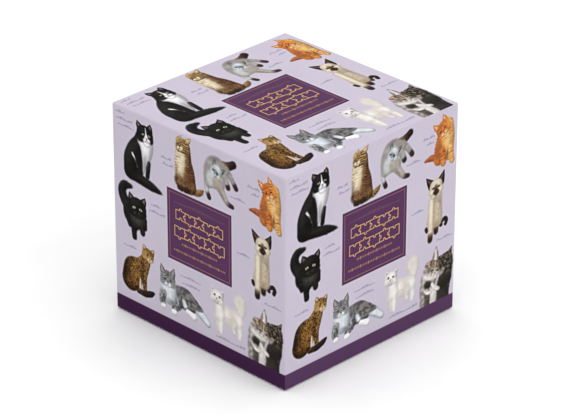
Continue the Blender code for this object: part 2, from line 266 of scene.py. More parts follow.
def make_studio():
    world = bpy.data.worlds.new("studio")
    bpy.context.scene.world = world
    world.use_nodes = True
    sky = world.node_tree.nodes["Background"]
    sky.inputs["Color"].default_value = (1, 1, 1, 1)
    sky.inputs["Strength"].default_value = WORLD_LIGHT
    for name, place, size, power in LAMPS:
        data = bpy.data.lights.new(name, "AREA")
        data.shape = "SQUARE"
        data.size, data.energy = size, power
        light = in_scene(bpy.data.objects.new(name, data))
        light.location = place
        light.rotation_euler = (LAMP_TARGET - Vector(place)).to_track_quat("-Z", "Y").to_euler()
    turns = (2 * math.pi * k / FLOOR_SIDES for k in range(FLOOR_SIDES))
    edge = [(FLOOR_RADIUS * math.cos(a), FLOOR_RADIUS * math.sin(a), 0.0) for a in turns]
    floor = new_object("floor", edge, [range(FLOOR_SIDES)])
    floor.data.materials.append(finish("pale_floor", (0.90, 0.90, 0.90), 0.7, grain=(40, 0.01),
                                       bump=(900, 0.02)))
    bpy.context.scene.view_settings.view_transform = "Standard"


# ---------------------------------------------------------------------------
# The printed picture, painted in numpy. Lengths here are millimetres from its
# top left corner, with y down, and colours are sRGB from 0 to 1.
# ---------------------------------------------------------------------------

ART_WIDTH = 105.0
ART_HEIGHT = 92.0
ART_PIXELS_PER_MM = 10.0
LILAC = (0.783, 0.752, 0.812)
PRINT_TONE = 0.950
PLUM = (0.342, 0.211, 0.348)
GOLD = (0.810, 0.630, 0.420)
GOLD_DULL = (0.640, 0.460, 0.370)
INK = (0.430, 0.410, 0.560)

NOISE_CELLS = 64
STROKE_SEED = 7
EDGE_SOFTNESS = 0.45  # How wide a painted form's edge is
SHADE_RIGHT, SHADE_DOWN, SHADE_FACING, SHADE_LEVEL = -0.40, -0.58, 0.70, 0.62  # Light from the upper left
DARKEST = 0.25
HIGHLIGHT = 0.55


def smooth(low, high, value):
    t = np.clip((value - low) / (high - low), 0, 1)
    return t * t * (3 - 2 * t)


def noise(x, y, size, seed):
    """Smooth noise from 0 to 1 over the plane, with features of about this size."""
    table = np.random.default_rng(seed).random((NOISE_CELLS, NOISE_CELLS))
    gx, gy = x / size, y / size
    ix, iy = np.floor(gx).astype(int), np.floor(gy).astype(int)
    fx, fy = gx - ix, gy - iy
    fx, fy = fx * fx * (3 - 2 * fx), fy * fy * (3 - 2 * fy)
    left, right = ix % NOISE_CELLS, (ix + 1) % NOISE_CELLS
    above, below = iy % NOISE_CELLS, (iy + 1) % NOISE_CELLS
    low = table[above, left] * (1 - fx) + table[above, right] * fx
    high = table[below, left] * (1 - fx) + table[below, right] * fx
    return low * (1 - fy) + high * fy


def within(x, y, outline):
    """Whether each place lies inside a closed outline."""
    inside = np.zeros(x.shape, bool)
    for (ax, ay), (bx, by) in zip(outline, np.roll(outline, -1, axis=0)):
        if ay != by:
            inside ^= ((ay > y) != (by > y)) & (x < (bx - ax) * (y - ay) / (by - ay) + ax)
    return inside


def curve_through(points, count):
    """Points along a smooth line through these."""
    p = np.array(points, float)
    if len(p) == 2:
        return p[0] + (p[1] - p[0]) * np.linspace(0, 1, count)[:, None]
    ends = np.vstack([2 * p[0] - p[1], p, 2 * p[-1] - p[-2]])
    t = np.linspace(0, len(p) - 1, count)
    k = np.minimum(t.astype(int), len(p) - 2)
    f = (t - k)[:, None]
    a, b, c, d = ends[k], ends[k + 1], ends[k + 2], ends[k + 3]
    return 0.5 * (2 * b + (c - a) * f + (2 * a - 5 * b + 4 * c - d) * f**2 + (3 * b - a - 3 * c + d) * f**3)


class Patch:
    """A painted form's pixels: where they are, how far along (u, 0 to 1) and out (v, 1 at its edge) they lie,
    the way outwards (ox, oy), the way its fur lies (fx, fy) and how much of each pixel it covers (alpha)."""


class Art:
    def __init__(self, pixels_per_mm):
        self.k = pixels_per_mm
        self.w = round(ART_WIDTH * pixels_per_mm)
        self.h = round(ART_HEIGHT * pixels_per_mm)
        self.rgb = np.empty((self.h, self.w, 3), np.float32)
        self.rgb[:] = LILAC
        self.cover = np.zeros((self.h, self.w), np.float32)
        self.draw = np.random.default_rng(STROKE_SEED)

    def window(self, x0, y0, x1, y1):
        k = self.k
        c0, c1 = max(0, int(x0 * k)), min(self.w, int(x1 * k) + 2)
        r0, r1 = max(0, int(y0 * k)), min(self.h, int(y1 * k) + 2)
        p = Patch()
        p.at = (slice(r0, r1), slice(c0, c1))
        p.y, p.x = np.mgrid[r0:r1, c0:c1].astype(np.float32)
        p.x, p.y = (p.x + 0.5) / k, (p.y + 0.5) / k
        p.r0, p.c0 = r0, c0
        return p

    def limb(self, points, radii, count=40, soft=EDGE_SOFTNESS):
        """A tube of changing width along a smooth line."""
        line = curve_through(points, count)
        radius = np.interp(np.linspace(0, 1, count), np.linspace(0, 1, len(radii)), radii)
        big = radius.max() + soft + 0.5
        low, high = line.min(axis=0) - big, line.max(axis=0) + big
        p = self.window(low[0], low[1], high[0], high[1])
        best = np.full(p.x.shape, 1e9, np.float32)
        index = np.zeros(p.x.shape, int)
        for i, ((cx, cy), r) in enumerate(zip(line, radius)):
            gap = np.hypot(p.x - cx, p.y - cy) - r
            closer = gap < best
            best[closer] = gap[closer]
            index[closer] = i
        tangent = np.gradient(line, axis=0)
        step = np.hypot(tangent[:, 0], tangent[:, 1])
        tangent /= np.maximum(step, 1e-9)[:, None]
        p.length = float(step.sum())
        p.u = index / (count - 1)
        p.fx, p.fy = tangent[index, 0], tangent[index, 1]
        p.ox = (p.x - line[index, 0]) / radius[index]
        p.oy = (p.y - line[index, 1]) / radius[index]
        p.v = np.hypot(p.ox, p.oy)
        p.alpha = np.clip(0.5 - best / soft, 0, 1)
        return p

    def oval(self, centre, size, turn=0.0, grain=None, soft=EDGE_SOFTNESS):
        """An ellipse. grain is the way its fur lies, or None where it lies outwards."""
        a = math.radians(turn)
        reach = max(size) + soft + 0.5
        p = self.window(centre[0] - reach, centre[1] - reach, centre[0] + reach, centre[1] + reach)
        dx, dy = p.x - centre[0], p.y - centre[1]
        lx = (dx * math.cos(a) + dy * math.sin(a)) / size[0]
        ly = (-dx * math.sin(a) + dy * math.cos(a)) / size[1]
        p.v = np.hypot(lx, ly)
        p.u = (ly + 1) / 2
        p.length = 2 * size[1]
        p.ox = lx * math.cos(a) - ly * math.sin(a)
        p.oy = lx * math.sin(a) + ly * math.cos(a)
        if grain is None:
            p.fx, p.fy = p.ox / np.maximum(p.v, 0.05), p.oy / np.maximum(p.v, 0.05)
        else:
            n = math.hypot(*grain)
            p.fx, p.fy = np.full_like(p.x, grain[0] / n), np.full_like(p.x, grain[1] / n)
        p.alpha = np.clip(0.5 - (p.v - 1) * min(size) / soft, 0, 1)
        return p

    def paint(self, p, coat, fur=1.2, dense=24.0, depth=0.3, strength=0.42):
        """Lays a form down in its coat, lit from the upper left, then strokes its fur."""
        colour = np.broadcast_to(coat(p), p.x.shape + (3,)).copy()
        nz = np.sqrt(np.maximum(0, 1 - np.minimum(p.v, 1) ** 2))
        facing = SHADE_RIGHT * p.ox + SHADE_DOWN * p.oy + SHADE_FACING * nz - SHADE_LEVEL
        shade = 1 + depth * facing
        colour *= np.clip(shade, DARKEST, 1.0)[..., None]
        colour += (1 - colour) * (np.maximum(shade - 1, 0) * HIGHLIGHT)[..., None]
        a = p.alpha[..., None]
        spot = self.rgb[p.at]
        spot[:] = spot * (1 - a) + colour * a
        np.maximum(self.cover[p.at], p.alpha, out=self.cover[p.at])
        inside = np.flatnonzero(p.alpha > 0.4)
        count = int(dense * len(inside) / self.k**2)
        if count:
            rows, columns = np.divmod(self.draw.choice(inside, count), p.x.shape[1])
            self.strokes(p, rows, columns, colour, fur, strength)

    def strokes(self, p, rows, columns, colour, fur, strength):
        n = len(rows)
        draw = self.draw
        x = columns + p.c0 + draw.random(n)
        y = rows + p.r0 + draw.random(n)
        edge = np.minimum(p.v[rows, columns], 1.1) ** 3
        dx = p.fx[rows, columns] + 0.4 * edge * p.ox[rows, columns]
        dy = p.fy[rows, columns] + 0.4 * edge * p.oy[rows, columns]
        turn = np.arctan2(dy, dx) + draw.normal(0, 0.20, n)
        bend = draw.normal(0, 0.012, n)
        length = fur * self.k * draw.uniform(0.35, 1.0, n) * (1 - 0.45 * edge)
        light = draw.normal(0, 0.075, n)
        tone = colour[rows, columns] * (1 + np.minimum(light, 0.05) * 1.5)[:, None]
        tone = np.clip(tone + (1 - tone) * (np.maximum(light, 0) * 0.5)[:, None], 0, 1)
        for step in range(int(length.max())):
            live = step < length
            self.dab(x[live], y[live], tone[live], strength * (1 - step / length[live]) ** 0.7)
            turn = turn + bend
            x = x + np.cos(turn)
            y = y + np.sin(turn)

    def dab(self, x, y, tone, alpha):
        ix, iy = np.floor(x - 0.5).astype(int), np.floor(y - 0.5).astype(int)
        fx, fy = x - 0.5 - ix, y - 0.5 - iy
        for ax, ay, part in (
            (0, 0, (1 - fx) * (1 - fy)), (1, 0, fx * (1 - fy)), (0, 1, (1 - fx) * fy), (1, 1, fx * fy)
        ):
            c, r = ix + ax, iy + ay
            ok = (c >= 0) & (c < self.w) & (r >= 0) & (r < self.h)
            c, r = c[ok], r[ok]
            a = (part * alpha)[ok][:, None]
            self.rgb[r, c] = self.rgb[r, c] * (1 - a) + tone[ok] * a

    def flat(self, p, colour, alpha=1.0):
        a = (p.alpha * alpha)[..., None]
        spot = self.rgb[p.at]
        spot[:] = spot * (1 - a) + np.array(colour, float) * a

    def glaze(self, centre, size, colour, turn=0.0, alpha=0.5):
        """A soft tint, kept to the cat in hand."""
        p = self.oval(centre, size, turn, soft=1.7 * min(size))
        p.alpha = p.alpha * self.cover[p.at]
        self.flat(p, colour, alpha)

    def crisp(self, reach=0.6, amount=0.35):
        """The picture with its local contrast raised, as a printer sharpens it."""
        soft = self.rgb
        steps = round(reach * self.k)
        for axis in (0, 1, 0, 1):
            last = soft.shape[axis] - 1
            rows = np.arange(last + 1)
            moved = (soft.take(np.clip(rows + k, 0, last), axis) for k in range(-steps, steps + 1))
            soft = sum(moved) / (2 * steps + 1)
        return np.clip(self.rgb + amount * (self.rgb - soft), 0, 1)

    def dot(self, centre, size, colour, turn=0.0, alpha=1.0, soft=0.12):
        self.flat(self.oval(centre, size, turn, soft=soft), colour, alpha)

    def line(self, points, widths, colour, alpha=1.0, soft=0.12, count=24):
        self.flat(self.limb(points, widths, count, soft), colour, alpha)

    def block(self, x0, y0, x1, y1, colour):
        p = self.window(x0, y0, x1, y1)
        cover = np.ones_like(p.x)
        for gap in (p.x - x0, x1 - p.x, p.y - y0, y1 - p.y):
            cover *= np.clip(gap * self.k + 0.5, 0, 1)
        p.alpha = cover
        self.flat(p, colour)


# Coats: each is a function from a patch to its colours.


def plain(rgb, vary=0.08, size=1.2, seed=1):
    rgb = np.array(rgb, float)
    return lambda p: rgb * (1 + vary * (2 * noise(p.x, p.y, size, seed) - 1))[..., None]


def mixed(first, second, share):
    """Two coats, the second where share(p) is 1."""
    return lambda p: first(p) + (second(p) - first(p)) * share(p)[..., None]


def grained(x, y, size, seed):
    """Two turned layers of noise, so that no grid shows through."""
    first = noise(0.80 * x + 0.60 * y, 0.80 * y - 0.60 * x, size, seed)
    return 0.5 * first + 0.5 * noise(0.45 * x - 0.89 * y, 0.45 * y + 0.89 * x, size * 0.8, seed + 1)


def striped(first, second, gap=1.6, cover=0.5, seed=3):
    """Bars across the form, this far apart."""

    def share(p):
        run = p.u * p.length / gap + noise(p.x, p.y, 2.6, seed) - 0.25 * p.v**2
        wave = 0.5 + 0.5 * np.cos(2 * math.pi * run)
        breaks = grained(p.x, p.y, 1.1, seed + 5)
        return smooth(0.75 - cover, 1.3 - cover, wave * (0.25 + 1.1 * breaks))

    return mixed(first, second, share)


def spotted(first, second, size=0.8, cover=0.45, seed=4):
    low, high = 0.72 - 0.5 * cover, 0.86 - 0.5 * cover
    return mixed(first, second, lambda p: smooth(low, high, grained(p.x, p.y, size, seed)))


def mottled(first, second, size=1.6, seed=6):
    """Soft blotches, as long fur shows them."""
    return mixed(first, second, lambda p: smooth(0.36, 0.64, grained(p.x, p.y, size, seed)))


def along(first, second, low, high):
    return mixed(first, second, lambda p: smooth(low, high, p.u))


def outward(first, second, low=0.3, high=1.0):
    return mixed(first, second, lambda p: smooth(low, high, p.v))


# ---------------------------------------------------------------------------
# The cats of the picture, the pen lines and the plaque. Each cat is strokes,
# then soft lights and shadows, then its head.
# ---------------------------------------------------------------------------


def head(
    art, at, r, tilt, look, face, muzzle, iris, nose=(0.6, 0.38, 0.38), rim=(0.08, 0.07, 0.07),
    ears=(0.85, 1.0), ear=None, inner=(0.72, 0.52, 0.5), ear_swing=(0.0, 0.0), shape=(1.0, 0.86), cheek=None,
    mark=None, mask=None, blaze=None, whisker=(0.95, 0.94, 0.95), fur=1.0, eye=0.8, lid=0.0,
):
    """A cat's head of half-width r. look moves the features over the face. tilt turns the head, in degrees.

    Coats are for the face, muzzle, ear, cheek, mask and blaze; iris, nose, rim, inner, mark and whisker are
    colours."""
    a = math.radians(tilt)
    lx, ly = look
    pale_skin = plain(inner)

    def spot(x, y):
        return (at[0] + r * (x * math.cos(a) - y * math.sin(a)),
                at[1] + r * (x * math.sin(a) + y * math.cos(a)))

    def brush(points, radii, coat, length, **how):
        limb = art.limb([spot(*p) for p in points], [r * w for w in radii], soft=how.pop("soft", 0.3))
        art.paint(limb, coat, length, **how)

    apart, tall = ears
    for side, swing in zip((-1, 1), ear_swing):
        tip = side * (apart + swing) + 0.05 * lx
        middle = side * (0.62 + 0.45 * (apart + swing - 0.62))
        brush([(side * 0.56 + 0.1 * lx, -0.45), (middle, -0.55 - tall * 0.3), (tip, -0.62 - tall * 0.78)],
              (0.42, 0.3, 0.05), ear or face, fur * 0.5)
        brush([(side * 0.6 + 0.1 * lx, -0.55), (middle, -0.55 - tall * 0.3),
               (tip * 0.99, -0.6 - tall * 0.66)],
              (0.2, 0.15, 0.03), pale_skin, fur * 0.4, dense=10, depth=0.2, soft=0.6)
    art.paint(art.oval(spot(0, 0), (shape[0] * r, shape[1] * r), tilt), face, fur * 0.7)
    for side in (-1, 1):
        way = (side * 0.8 * math.cos(a) - 0.6 * math.sin(a), side * 0.8 * math.sin(a) + 0.6 * math.cos(a))
        puff = art.oval(spot(side * 0.52, 0.38), (0.5 * r, 0.42 * r), tilt, way, soft=0.8)
        art.paint(puff, cheek or face, fur, depth=0.1)
    if mark is not None:
        for x in (-0.34, -0.12, 0.12, 0.34):
            art.line([spot(x * 0.6 + lx * 0.6, -0.28), spot(x, -0.52), spot(x * 1.35, -0.78)],
                     [0.03 * r, 0.055 * r, 0.03 * r], mark, 0.5, 0.3)
        for side in (-1, 1):
            for y in (0.1, 0.3):
                bar = [spot(side * 0.62 + lx * 0.3, y), spot(side * 0.95, y + 0.06)]
                art.line(bar, [0.05 * r, 0.02 * r], mark, 0.4, 0.3)
    if mask is not None:
        coat, wide, tall = mask
        over_nose = art.oval(spot(lx * 0.9, 0.24 + ly), (wide * r, tall * r), tilt, soft=0.3 * r)
        art.paint(over_nose, coat, fur * 0.4, depth=0.1)
    if blaze is not None:
        brow = [(lx * 0.5, -0.62), (lx * 0.9, -0.1 + ly), (lx, 0.3 + ly)]
        brush(brow, (0.03, 0.08, 0.26), blaze, fur * 0.5, depth=0.1, soft=0.5)
    chin = art.oval(spot(lx * 1.05, 0.66 + ly), (0.24 * r, 0.17 * r), tilt, soft=0.5)
    art.paint(chin, muzzle, fur * 0.35, depth=0.2)
    for side in (-1, 1):
        pad = art.oval(spot(lx * 1.2 + side * 0.19, 0.47 + ly), (0.26 * r, 0.2 * r), tilt + side * 15,
                       soft=0.5)
        art.paint(pad, muzzle, fur * 0.35, depth=0.25)
        at_eye = spot(lx + side * 0.38 * (1 - 0.25 * side * lx), ly)
        lean = tilt + side * 14
        art.dot(at_eye, (0.215 * r * eye, (0.165 - 0.07 * lid) * r * eye), rim, lean, 0.9, 0.25)
        art.dot(at_eye, (0.16 * r * eye, (0.115 - 0.07 * lid) * r * eye), iris, lean)
        art.dot(at_eye, (0.065 * r * eye, (0.105 - 0.06 * lid) * r * eye), (0.03, 0.03, 0.03), tilt)
        glint = (at_eye[0] - 0.04 * r, at_eye[1] - 0.04 * r)
        art.dot(glint, (0.025 * r, 0.02 * r), (0.95, 0.95, 1.0), 0, 0.8)
    art.dot(spot(lx * 1.35, 0.3 + ly), (0.105 * r, 0.065 * r), nose, tilt)
    art.dot(spot(lx * 1.35, 0.35 + ly), (0.05 * r, 0.05 * r), nose, tilt)
    for side in (-1, 1):
        art.line([spot(lx * 1.35, 0.38 + ly), spot(lx * 1.3 + side * 0.08, 0.52 + ly),
                  spot(lx * 1.2 + side * 0.2, 0.54 + ly)], [0.022 * r, 0.018 * r, 0.01 * r], rim, 0.55)
        for k in range(4):
            hair = [spot(lx * 1.2 + side * 0.25, 0.42 + 0.05 * k + ly),
                    spot(lx + side * 0.75, 0.32 + 0.13 * k + ly),
                    spot(lx * 0.8 + side * 1.3, 0.28 + 0.22 * k + ly)]
            art.line(hair, [0.012 * r, 0.011 * r, 0.004 * r], whisker, 0.4, 0.1)


def body(art, *strokes, depth=0.3):
    """Limbs in order from the back: coat, fur, soft edge, then x, y, radius for each point of its line."""
    for coat, fur, soft, *run in strokes:
        art.paint(art.limb(list(zip(run[::3], run[1::3])), run[2::3], soft=soft), coat, fur, depth=depth)


def glazes(art, *spots):
    """Soft lights and shadows over the cat: (x, y, half width, half height, turn, colour, strength)."""
    for x, y, wide, tall, turn, colour, alpha in spots:
        art.glaze((x, y), (wide, tall), colour, turn, alpha)


def tuxedo_cat(art):
    black = plain((0.07, 0.063, 0.058), 0.15)
    white = outward(plain((0.93, 0.925, 0.93), 0.04), plain((0.74, 0.725, 0.75), 0.05), 0.35, 1.05)
    body(
        art,
        (black, 2, 0.8, 18.4, 12, 3.4, 14.2, 17, 4.1, 11.8, 22.5, 4.6, 11.4, 28.2, 4.4),
        (black, 1.8, 0.8, 17.6, 10.6, 2.9, 16.4, 14, 3.2, 15, 20, 3.4),
        (white, 2.4, 1.8, 20.8, 12.4, 4.6, 21.2, 15.5, 3.7, 20.8, 19, 2.7, 19.6, 23, 1.1, 19, 26.4, 0.5),
        (black, 1.6, 1.2, 15.2, 16, 2.3, 16.6, 21, 2, 17.4, 27.6, 1.5),
        (black, 1, 0.7, 22.9, 21.2, 1, 22.3, 24, 1.3, 21.8, 27.8, 1.2),
        (white, 0.8, 0.7, 12.4, 19.8, 0.6, 13.8, 22, 0.55, 15.4, 25.4, 0.2),
        (black, 2.4, 0.8, 10, 29.4, 2.8, 17, 30.6, 2.5, 23.5, 31.7, 2.2, 28, 32.5, 1.2, 30.4, 33.1, 0.3),
        (black, 1.8, 1.4, 11.4, 25, 3.8, 11.6, 28.5, 3.4),
    )
    glazes(
        art,
        (9.9, 20, 1.5, 4.5, 22, (0.22, 0.2, 0.19), 0.4),
        (13.4, 17, 1.4, 2.5, 30, (0.2, 0.19, 0.18), 0.4),
        (19.5, 30.4, 6, 0.9, 6, (0.22, 0.2, 0.19), 0.4),
        (20, 22.6, 1, 3.6, 8, (0.5, 0.48, 0.51), 0.7),
        (21.2, 20, 1.5, 3.2, 8, (0.66, 0.64, 0.67), 0.5),
        (24.2, 15, 1, 2.6, 8, (0.68, 0.66, 0.7), 0.6),
        (21.6, 15.5, 1.2, 2.4, 5, (0.97, 0.97, 0.97), 0.5),
    )
    head(art, (20.6, 8.3), 5.0, -3, (0.16, 0.04), black, white, (0.8, 0.78, 0.6), blaze=white,
         ears=(0.82, 0.56),
         ear_swing=(0.1, -0.1), inner=(0.4, 0.35, 0.36), shape=(1.03, 0.84), eye=0.85, lid=0.2, fur=1.3)
    body(art, (white, 1.2, 1.4, 20, 12.2, 0.6, 21.6, 12.8, 1, 23.2, 12.2, 0.6), depth=0.1)


def brown_tabby(art):
    gold = plain((0.62, 0.485, 0.29), 0.18)
    brown = plain((0.21, 0.135, 0.09), 0.15)
    bars = striped(gold, brown, 1.15, 0.42)
    dark = striped(plain((0.5, 0.355, 0.22), 0.15), plain((0.19, 0.12, 0.08)), 1.2, 0.5)
    cream = striped(plain((0.87, 0.81, 0.69)), plain((0.55, 0.45, 0.32)), 1.1, 0.4)
    body(
        art,
        (bars, 1.2, 0.7, 49, 24.6, 2, 52.6, 24.8, 1.6, 54.9, 23.8, 1.3, 56.2, 22.7, 0.5),
        (dark, 1.4, 0.8, 45.8, 6, 2.8, 46.6, 12, 2.7, 47.6, 17, 3.5, 48.2, 23, 3.8),
        (cream, 1.6, 1.6, 43.6, 7, 3.8, 43, 12, 3.5, 42.7, 18, 3.4, 42.8, 22.5, 3.2),
        (dark, 1.4, 2, 47.2, 9, 1.2, 47, 14, 1.3, 46.4, 20, 1.8),
        (mottled(plain((0.5, 0.36, 0.22), 0.18), brown, 0.45), 1.4, 1.8,
         41.6, 22.6, 2.6, 44, 24.2, 2.6, 48, 24.4, 2.4),
        (brown, 0.8, 0.8, 41.6, 25.8, 1.2, 43, 26.2, 1.1),
        (brown, 0.8, 0.8, 45.4, 26, 1.2, 46.6, 26, 1.1),
    )
    glazes(
        art,
        (43, 15, 1.6, 4.5, 0, (0.95, 0.91, 0.8), 0.6),
        (48.8, 10.5, 0.7, 3, -5, (0.24, 0.16, 0.1), 0.5),
        (50.6, 19, 1, 4, -10, (0.24, 0.15, 0.1), 0.5),
        (39.7, 20, 0.7, 4, 0, (0.22, 0.15, 0.12), 0.55),
        (43.3, 23.6, 1.6, 1.4, 0, (0.6, 0.5, 0.28), 0.35),
        (47.6, 21.5, 1.4, 2.4, 0, (0.34, 0.22, 0.14), 0.5),
        (49.5, 23, 1.8, 1.5, 0, (0.55, 0.42, 0.22), 0.4),
        (45, 25.6, 4, 1, 0, (0.15, 0.09, 0.07), 0.6),
        (46, 20.5, 2.6, 2.4, 0, (0.42, 0.26, 0.16), 0.35),
    )
    head(art, (44.0, 5.6), 4.0, -4, (-0.35, -0.12), striped(plain((0.72, 0.58, 0.36)), brown, 1.2, 0.36),
         plain((0.88, 0.82, 0.7)), (0.45, 0.36, 0.18),
         mark=(0.34, 0.23, 0.13), lid=0.9, ears=(0.72, 0.62), ear_swing=(-0.6, 0.6), inner=(0.8, 0.71, 0.6),
         eye=0.7, nose=(0.3, 0.19, 0.14), cheek=bars)


def playing_kitten(art):
    grey = plain((0.62, 0.605, 0.59), 0.1)
    pale = outward(plain((0.765, 0.765, 0.755), 0.06), plain((0.68, 0.675, 0.67), 0.06), 0.3, 1.1)
    dark = plain((0.2, 0.145, 0.13))
    sock = along(grey, dark, 0.6, 0.85)
    body(
        art,
        (along(plain((0.42, 0.3, 0.25)), plain((0.15, 0.095, 0.07)), 0.2, 0.8), 1.6, 0.6,
         68, 5.3, 0.9, 71.4, 5.7, 1.9, 74.8, 4.0, 1.7),
        (sock, 0.9, 0.8, 70.4, 8, 2, 73.8, 11.2, 1.3, 76.2, 14.4, 1.3),
        (along(pale, dark, 0.6, 0.85), 0.9, 0.7, 58.8, 17.5, 1.9, 58.5, 20.5, 1.1, 60, 24.1, 1.2),
        (grey, 1.4, 1.2, 59.8, 17, 2.5, 59.2, 11.5, 2.3, 61.8, 7, 2.6, 66, 6.2, 2.3, 70, 8.4, 1.9),
        (pale, 1.4, 1.6, 61.4, 14.8, 4, 65.6, 14.6, 3.8),
        (along(plain((0.68, 0.65, 0.62), 0.1), dark, 0.5, 0.85), 0.9, 0.8,
         65.2, 15.4, 2.9, 68.4, 20, 1.8, 71.3, 23.1, 1.3, 74, 23.8, 1),
        (sock, 0.9, 0.8, 69.4, 11.4, 1.7, 70.6, 13.6, 1.4, 71.4, 15.5, 1.4),
    )
    glazes(
        art,
        (57.8, 12, 1, 4.5, 5, (0.52, 0.51, 0.49), 0.55),
        (63.4, 4.9, 3.8, 1.1, -10, (0.44, 0.41, 0.38), 0.65),
        (60.8, 17.8, 2, 1.2, 0, (0.84, 0.85, 0.83), 0.5),
        (66.2, 16.5, 2.2, 2.4, -30, (0.58, 0.53, 0.48), 0.5),
        (67.6, 20.4, 0.6, 2, -35, (0.36, 0.28, 0.25), 0.5),
        (69, 6.8, 1.6, 1.2, 20, (0.52, 0.47, 0.42), 0.5),
    )
    head(art, (64.5, 10.6), 3.4, 27, (-0.14, 0.14), pale, plain((0.72, 0.75, 0.77)), (0.38, 0.48, 0.56),
         ear=plain((0.34, 0.35, 0.35)), mask=(plain((0.42, 0.46, 0.5)), 0.42, 0.5), nose=(0.16, 0.15, 0.19),
         ears=(1.0, 0.86), eye=1.1, inner=(0.45, 0.46, 0.46), rim=(0.16, 0.19, 0.25), lid=0.4)
    glazes(art, (65.4, 8.4, 2, 1, 27, (0.9, 0.94, 0.97), 0.7),
           (62.2, 12.2, 1, 1.6, 27, (0.84, 0.88, 0.92), 0.5))


def orange_tabby(art):
    ginger = plain((0.82, 0.49, 0.21), 0.14)
    deep = plain((0.62, 0.32, 0.165), 0.15)
    bars = striped(ginger, deep, 1.3, 0.42)
    gold = striped(plain((0.88, 0.69, 0.41)), plain((0.74, 0.46, 0.22)), 1.3, 0.42)
    body(
        art,
        (deep, 1.2, 0.7, 91.5, 21.4, 1.7, 88.2, 20.8, 1.5, 84.6, 21.1, 0.5),
        (gold, 1.4, 0.8, 98.6, 8, 3.4, 99.6, 14, 3.2, 99.2, 22, 3),
        (bars, 1.5, 0.9, 94.4, 13, 2.6, 93.8, 17.5, 3.4, 93.4, 22.4, 3.3),
        (gold, 1.5, 1.6, 97.2, 12, 2.8, 97.8, 16.5, 2.6, 98, 20, 1.8),
        (bars, 0.9, 0.7, 95.6, 19.5, 1.7, 95.8, 23, 1.8, 96.2, 25.6, 1.5),
        (gold, 0.9, 0.7, 100.4, 19.5, 1.9, 100.9, 23, 1.8, 101.7, 25.8, 1.5),
    )
    glazes(
        art,
        (92, 20.5, 1.6, 3.6, 5, (0.46, 0.25, 0.19), 0.6),
        (93.2, 16, 1.5, 2.4, 10, (0.58, 0.32, 0.2), 0.45),
        (99, 15.4, 1.5, 2.6, 0, (0.97, 0.86, 0.64), 0.6),
        (102.2, 16, 0.7, 5, 0, (0.66, 0.46, 0.24), 0.5),
        (98.4, 22.6, 0.6, 2.6, 6, (0.32, 0.16, 0.1), 0.7),
        (96, 24.6, 1.2, 1, 0, (0.82, 0.62, 0.35), 0.4),
        (87, 20.2, 2, 0.6, -5, (0.76, 0.52, 0.38), 0.4),
    )
    head(art, (95.7, 8.8), 4.4, -30, (-0.12, 0.12), bars, plain((0.9, 0.74, 0.52)), (0.4, 0.24, 0.12),
         mark=(0.52, 0.28, 0.13), lid=0.8, nose=(0.66, 0.36, 0.28), inner=(0.88, 0.66, 0.5), ears=(0.78, 0.9),
         ear_swing=(0.12, -0.14), eye=0.8, rim=(0.32, 0.16, 0.09), cheek=bars)
    glazes(art, (99, 6.6, 1.2, 2.4, -10, (0.93, 0.72, 0.38), 0.5),
           (93.6, 8.6, 1.4, 1.2, -30, (0.6, 0.34, 0.19), 0.35))


def siamese(art):
    cream = outward(plain((0.88, 0.83, 0.74), 0.04), plain((0.74, 0.68, 0.6), 0.05), 0.3, 1.05)
    seal = plain((0.15, 0.105, 0.085))
    body(
        art,
        (seal, 0.7, 0.5, 95.8, 53.8, 0.9, 98, 52.9, 1.1, 99.1, 54, 1.1, 98.6, 55.6, 1),
        (seal, 0.6, 0.6, 86.2, 54.2, 1, 86.6, 55.2, 1),
        (seal, 0.6, 0.4, 88.8, 34.4, 1.9, 87.3, 32.2, 1.3, 85.8, 30, 0.3),
        (seal, 0.6, 0.4, 95.2, 34.2, 1.9, 96, 31.8, 1.3, 96.8, 29.2, 0.3),
        (seal, 0.6, 0.6, 95, 54.6, 1, 95.7, 55.2, 1),
        (cream, 1, 0.9, 92.2, 40, 3.6, 92, 46, 4, 91.4, 51.4, 4.9),
        (plain((0.66, 0.6, 0.53), 0.1), 1.1, 2, 92.8, 41, 2.2, 93, 44.6, 1.8),
        (along(plain((0.77, 0.71, 0.62)), seal, 0.72, 0.88), 0.8, 1, 92.6, 45, 1.8, 92.6, 52, 1.6, 92.4,
         57.3, 1.4),
        (along(cream, seal, 0.8, 0.92), 0.8, 0.9, 89.2, 42, 1.8, 89.1, 51, 1.6, 88.8, 60.2, 1.5),
        depth=0.15,
    )
    glazes(
        art,
        (91, 50, 0.5, 5, 0, (0.64, 0.56, 0.46), 0.6),
        (95.6, 48.6, 0.9, 4, -4, (0.62, 0.55, 0.48), 0.5),
        (86.9, 49.5, 0.8, 2.6, 12, (0.7, 0.64, 0.6), 0.5),
        (88.9, 47, 0.9, 4, 0, (0.94, 0.9, 0.81), 0.4),
        (92.4, 54, 1.2, 1.8, 0, (0.52, 0.4, 0.28), 0.5),
        (88.9, 58, 1.2, 1, 0, (0.56, 0.46, 0.3), 0.6),
    )
    head(art, (91.9, 35.5), 4.5, -2, (0.0, 0.06), cream, plain((0.22, 0.14, 0.1)), (0.4, 0.42, 0.36),
         ear=seal,
         inner=(0.31, 0.24, 0.2), mask=(plain((0.27, 0.175, 0.12)), 0.26, 0.5), nose=(0.09, 0.07, 0.06),
         ears=(1.2, 0.92), ear_swing=(0.14, -0.08), shape=(0.92, 0.84), fur=0.6, eye=0.9, lid=0.3,
         rim=(0.2, 0.15, 0.12))
    glazes(art, (91.9, 33.2, 2.4, 0.8, 0, (0.93, 0.89, 0.8), 0.5))


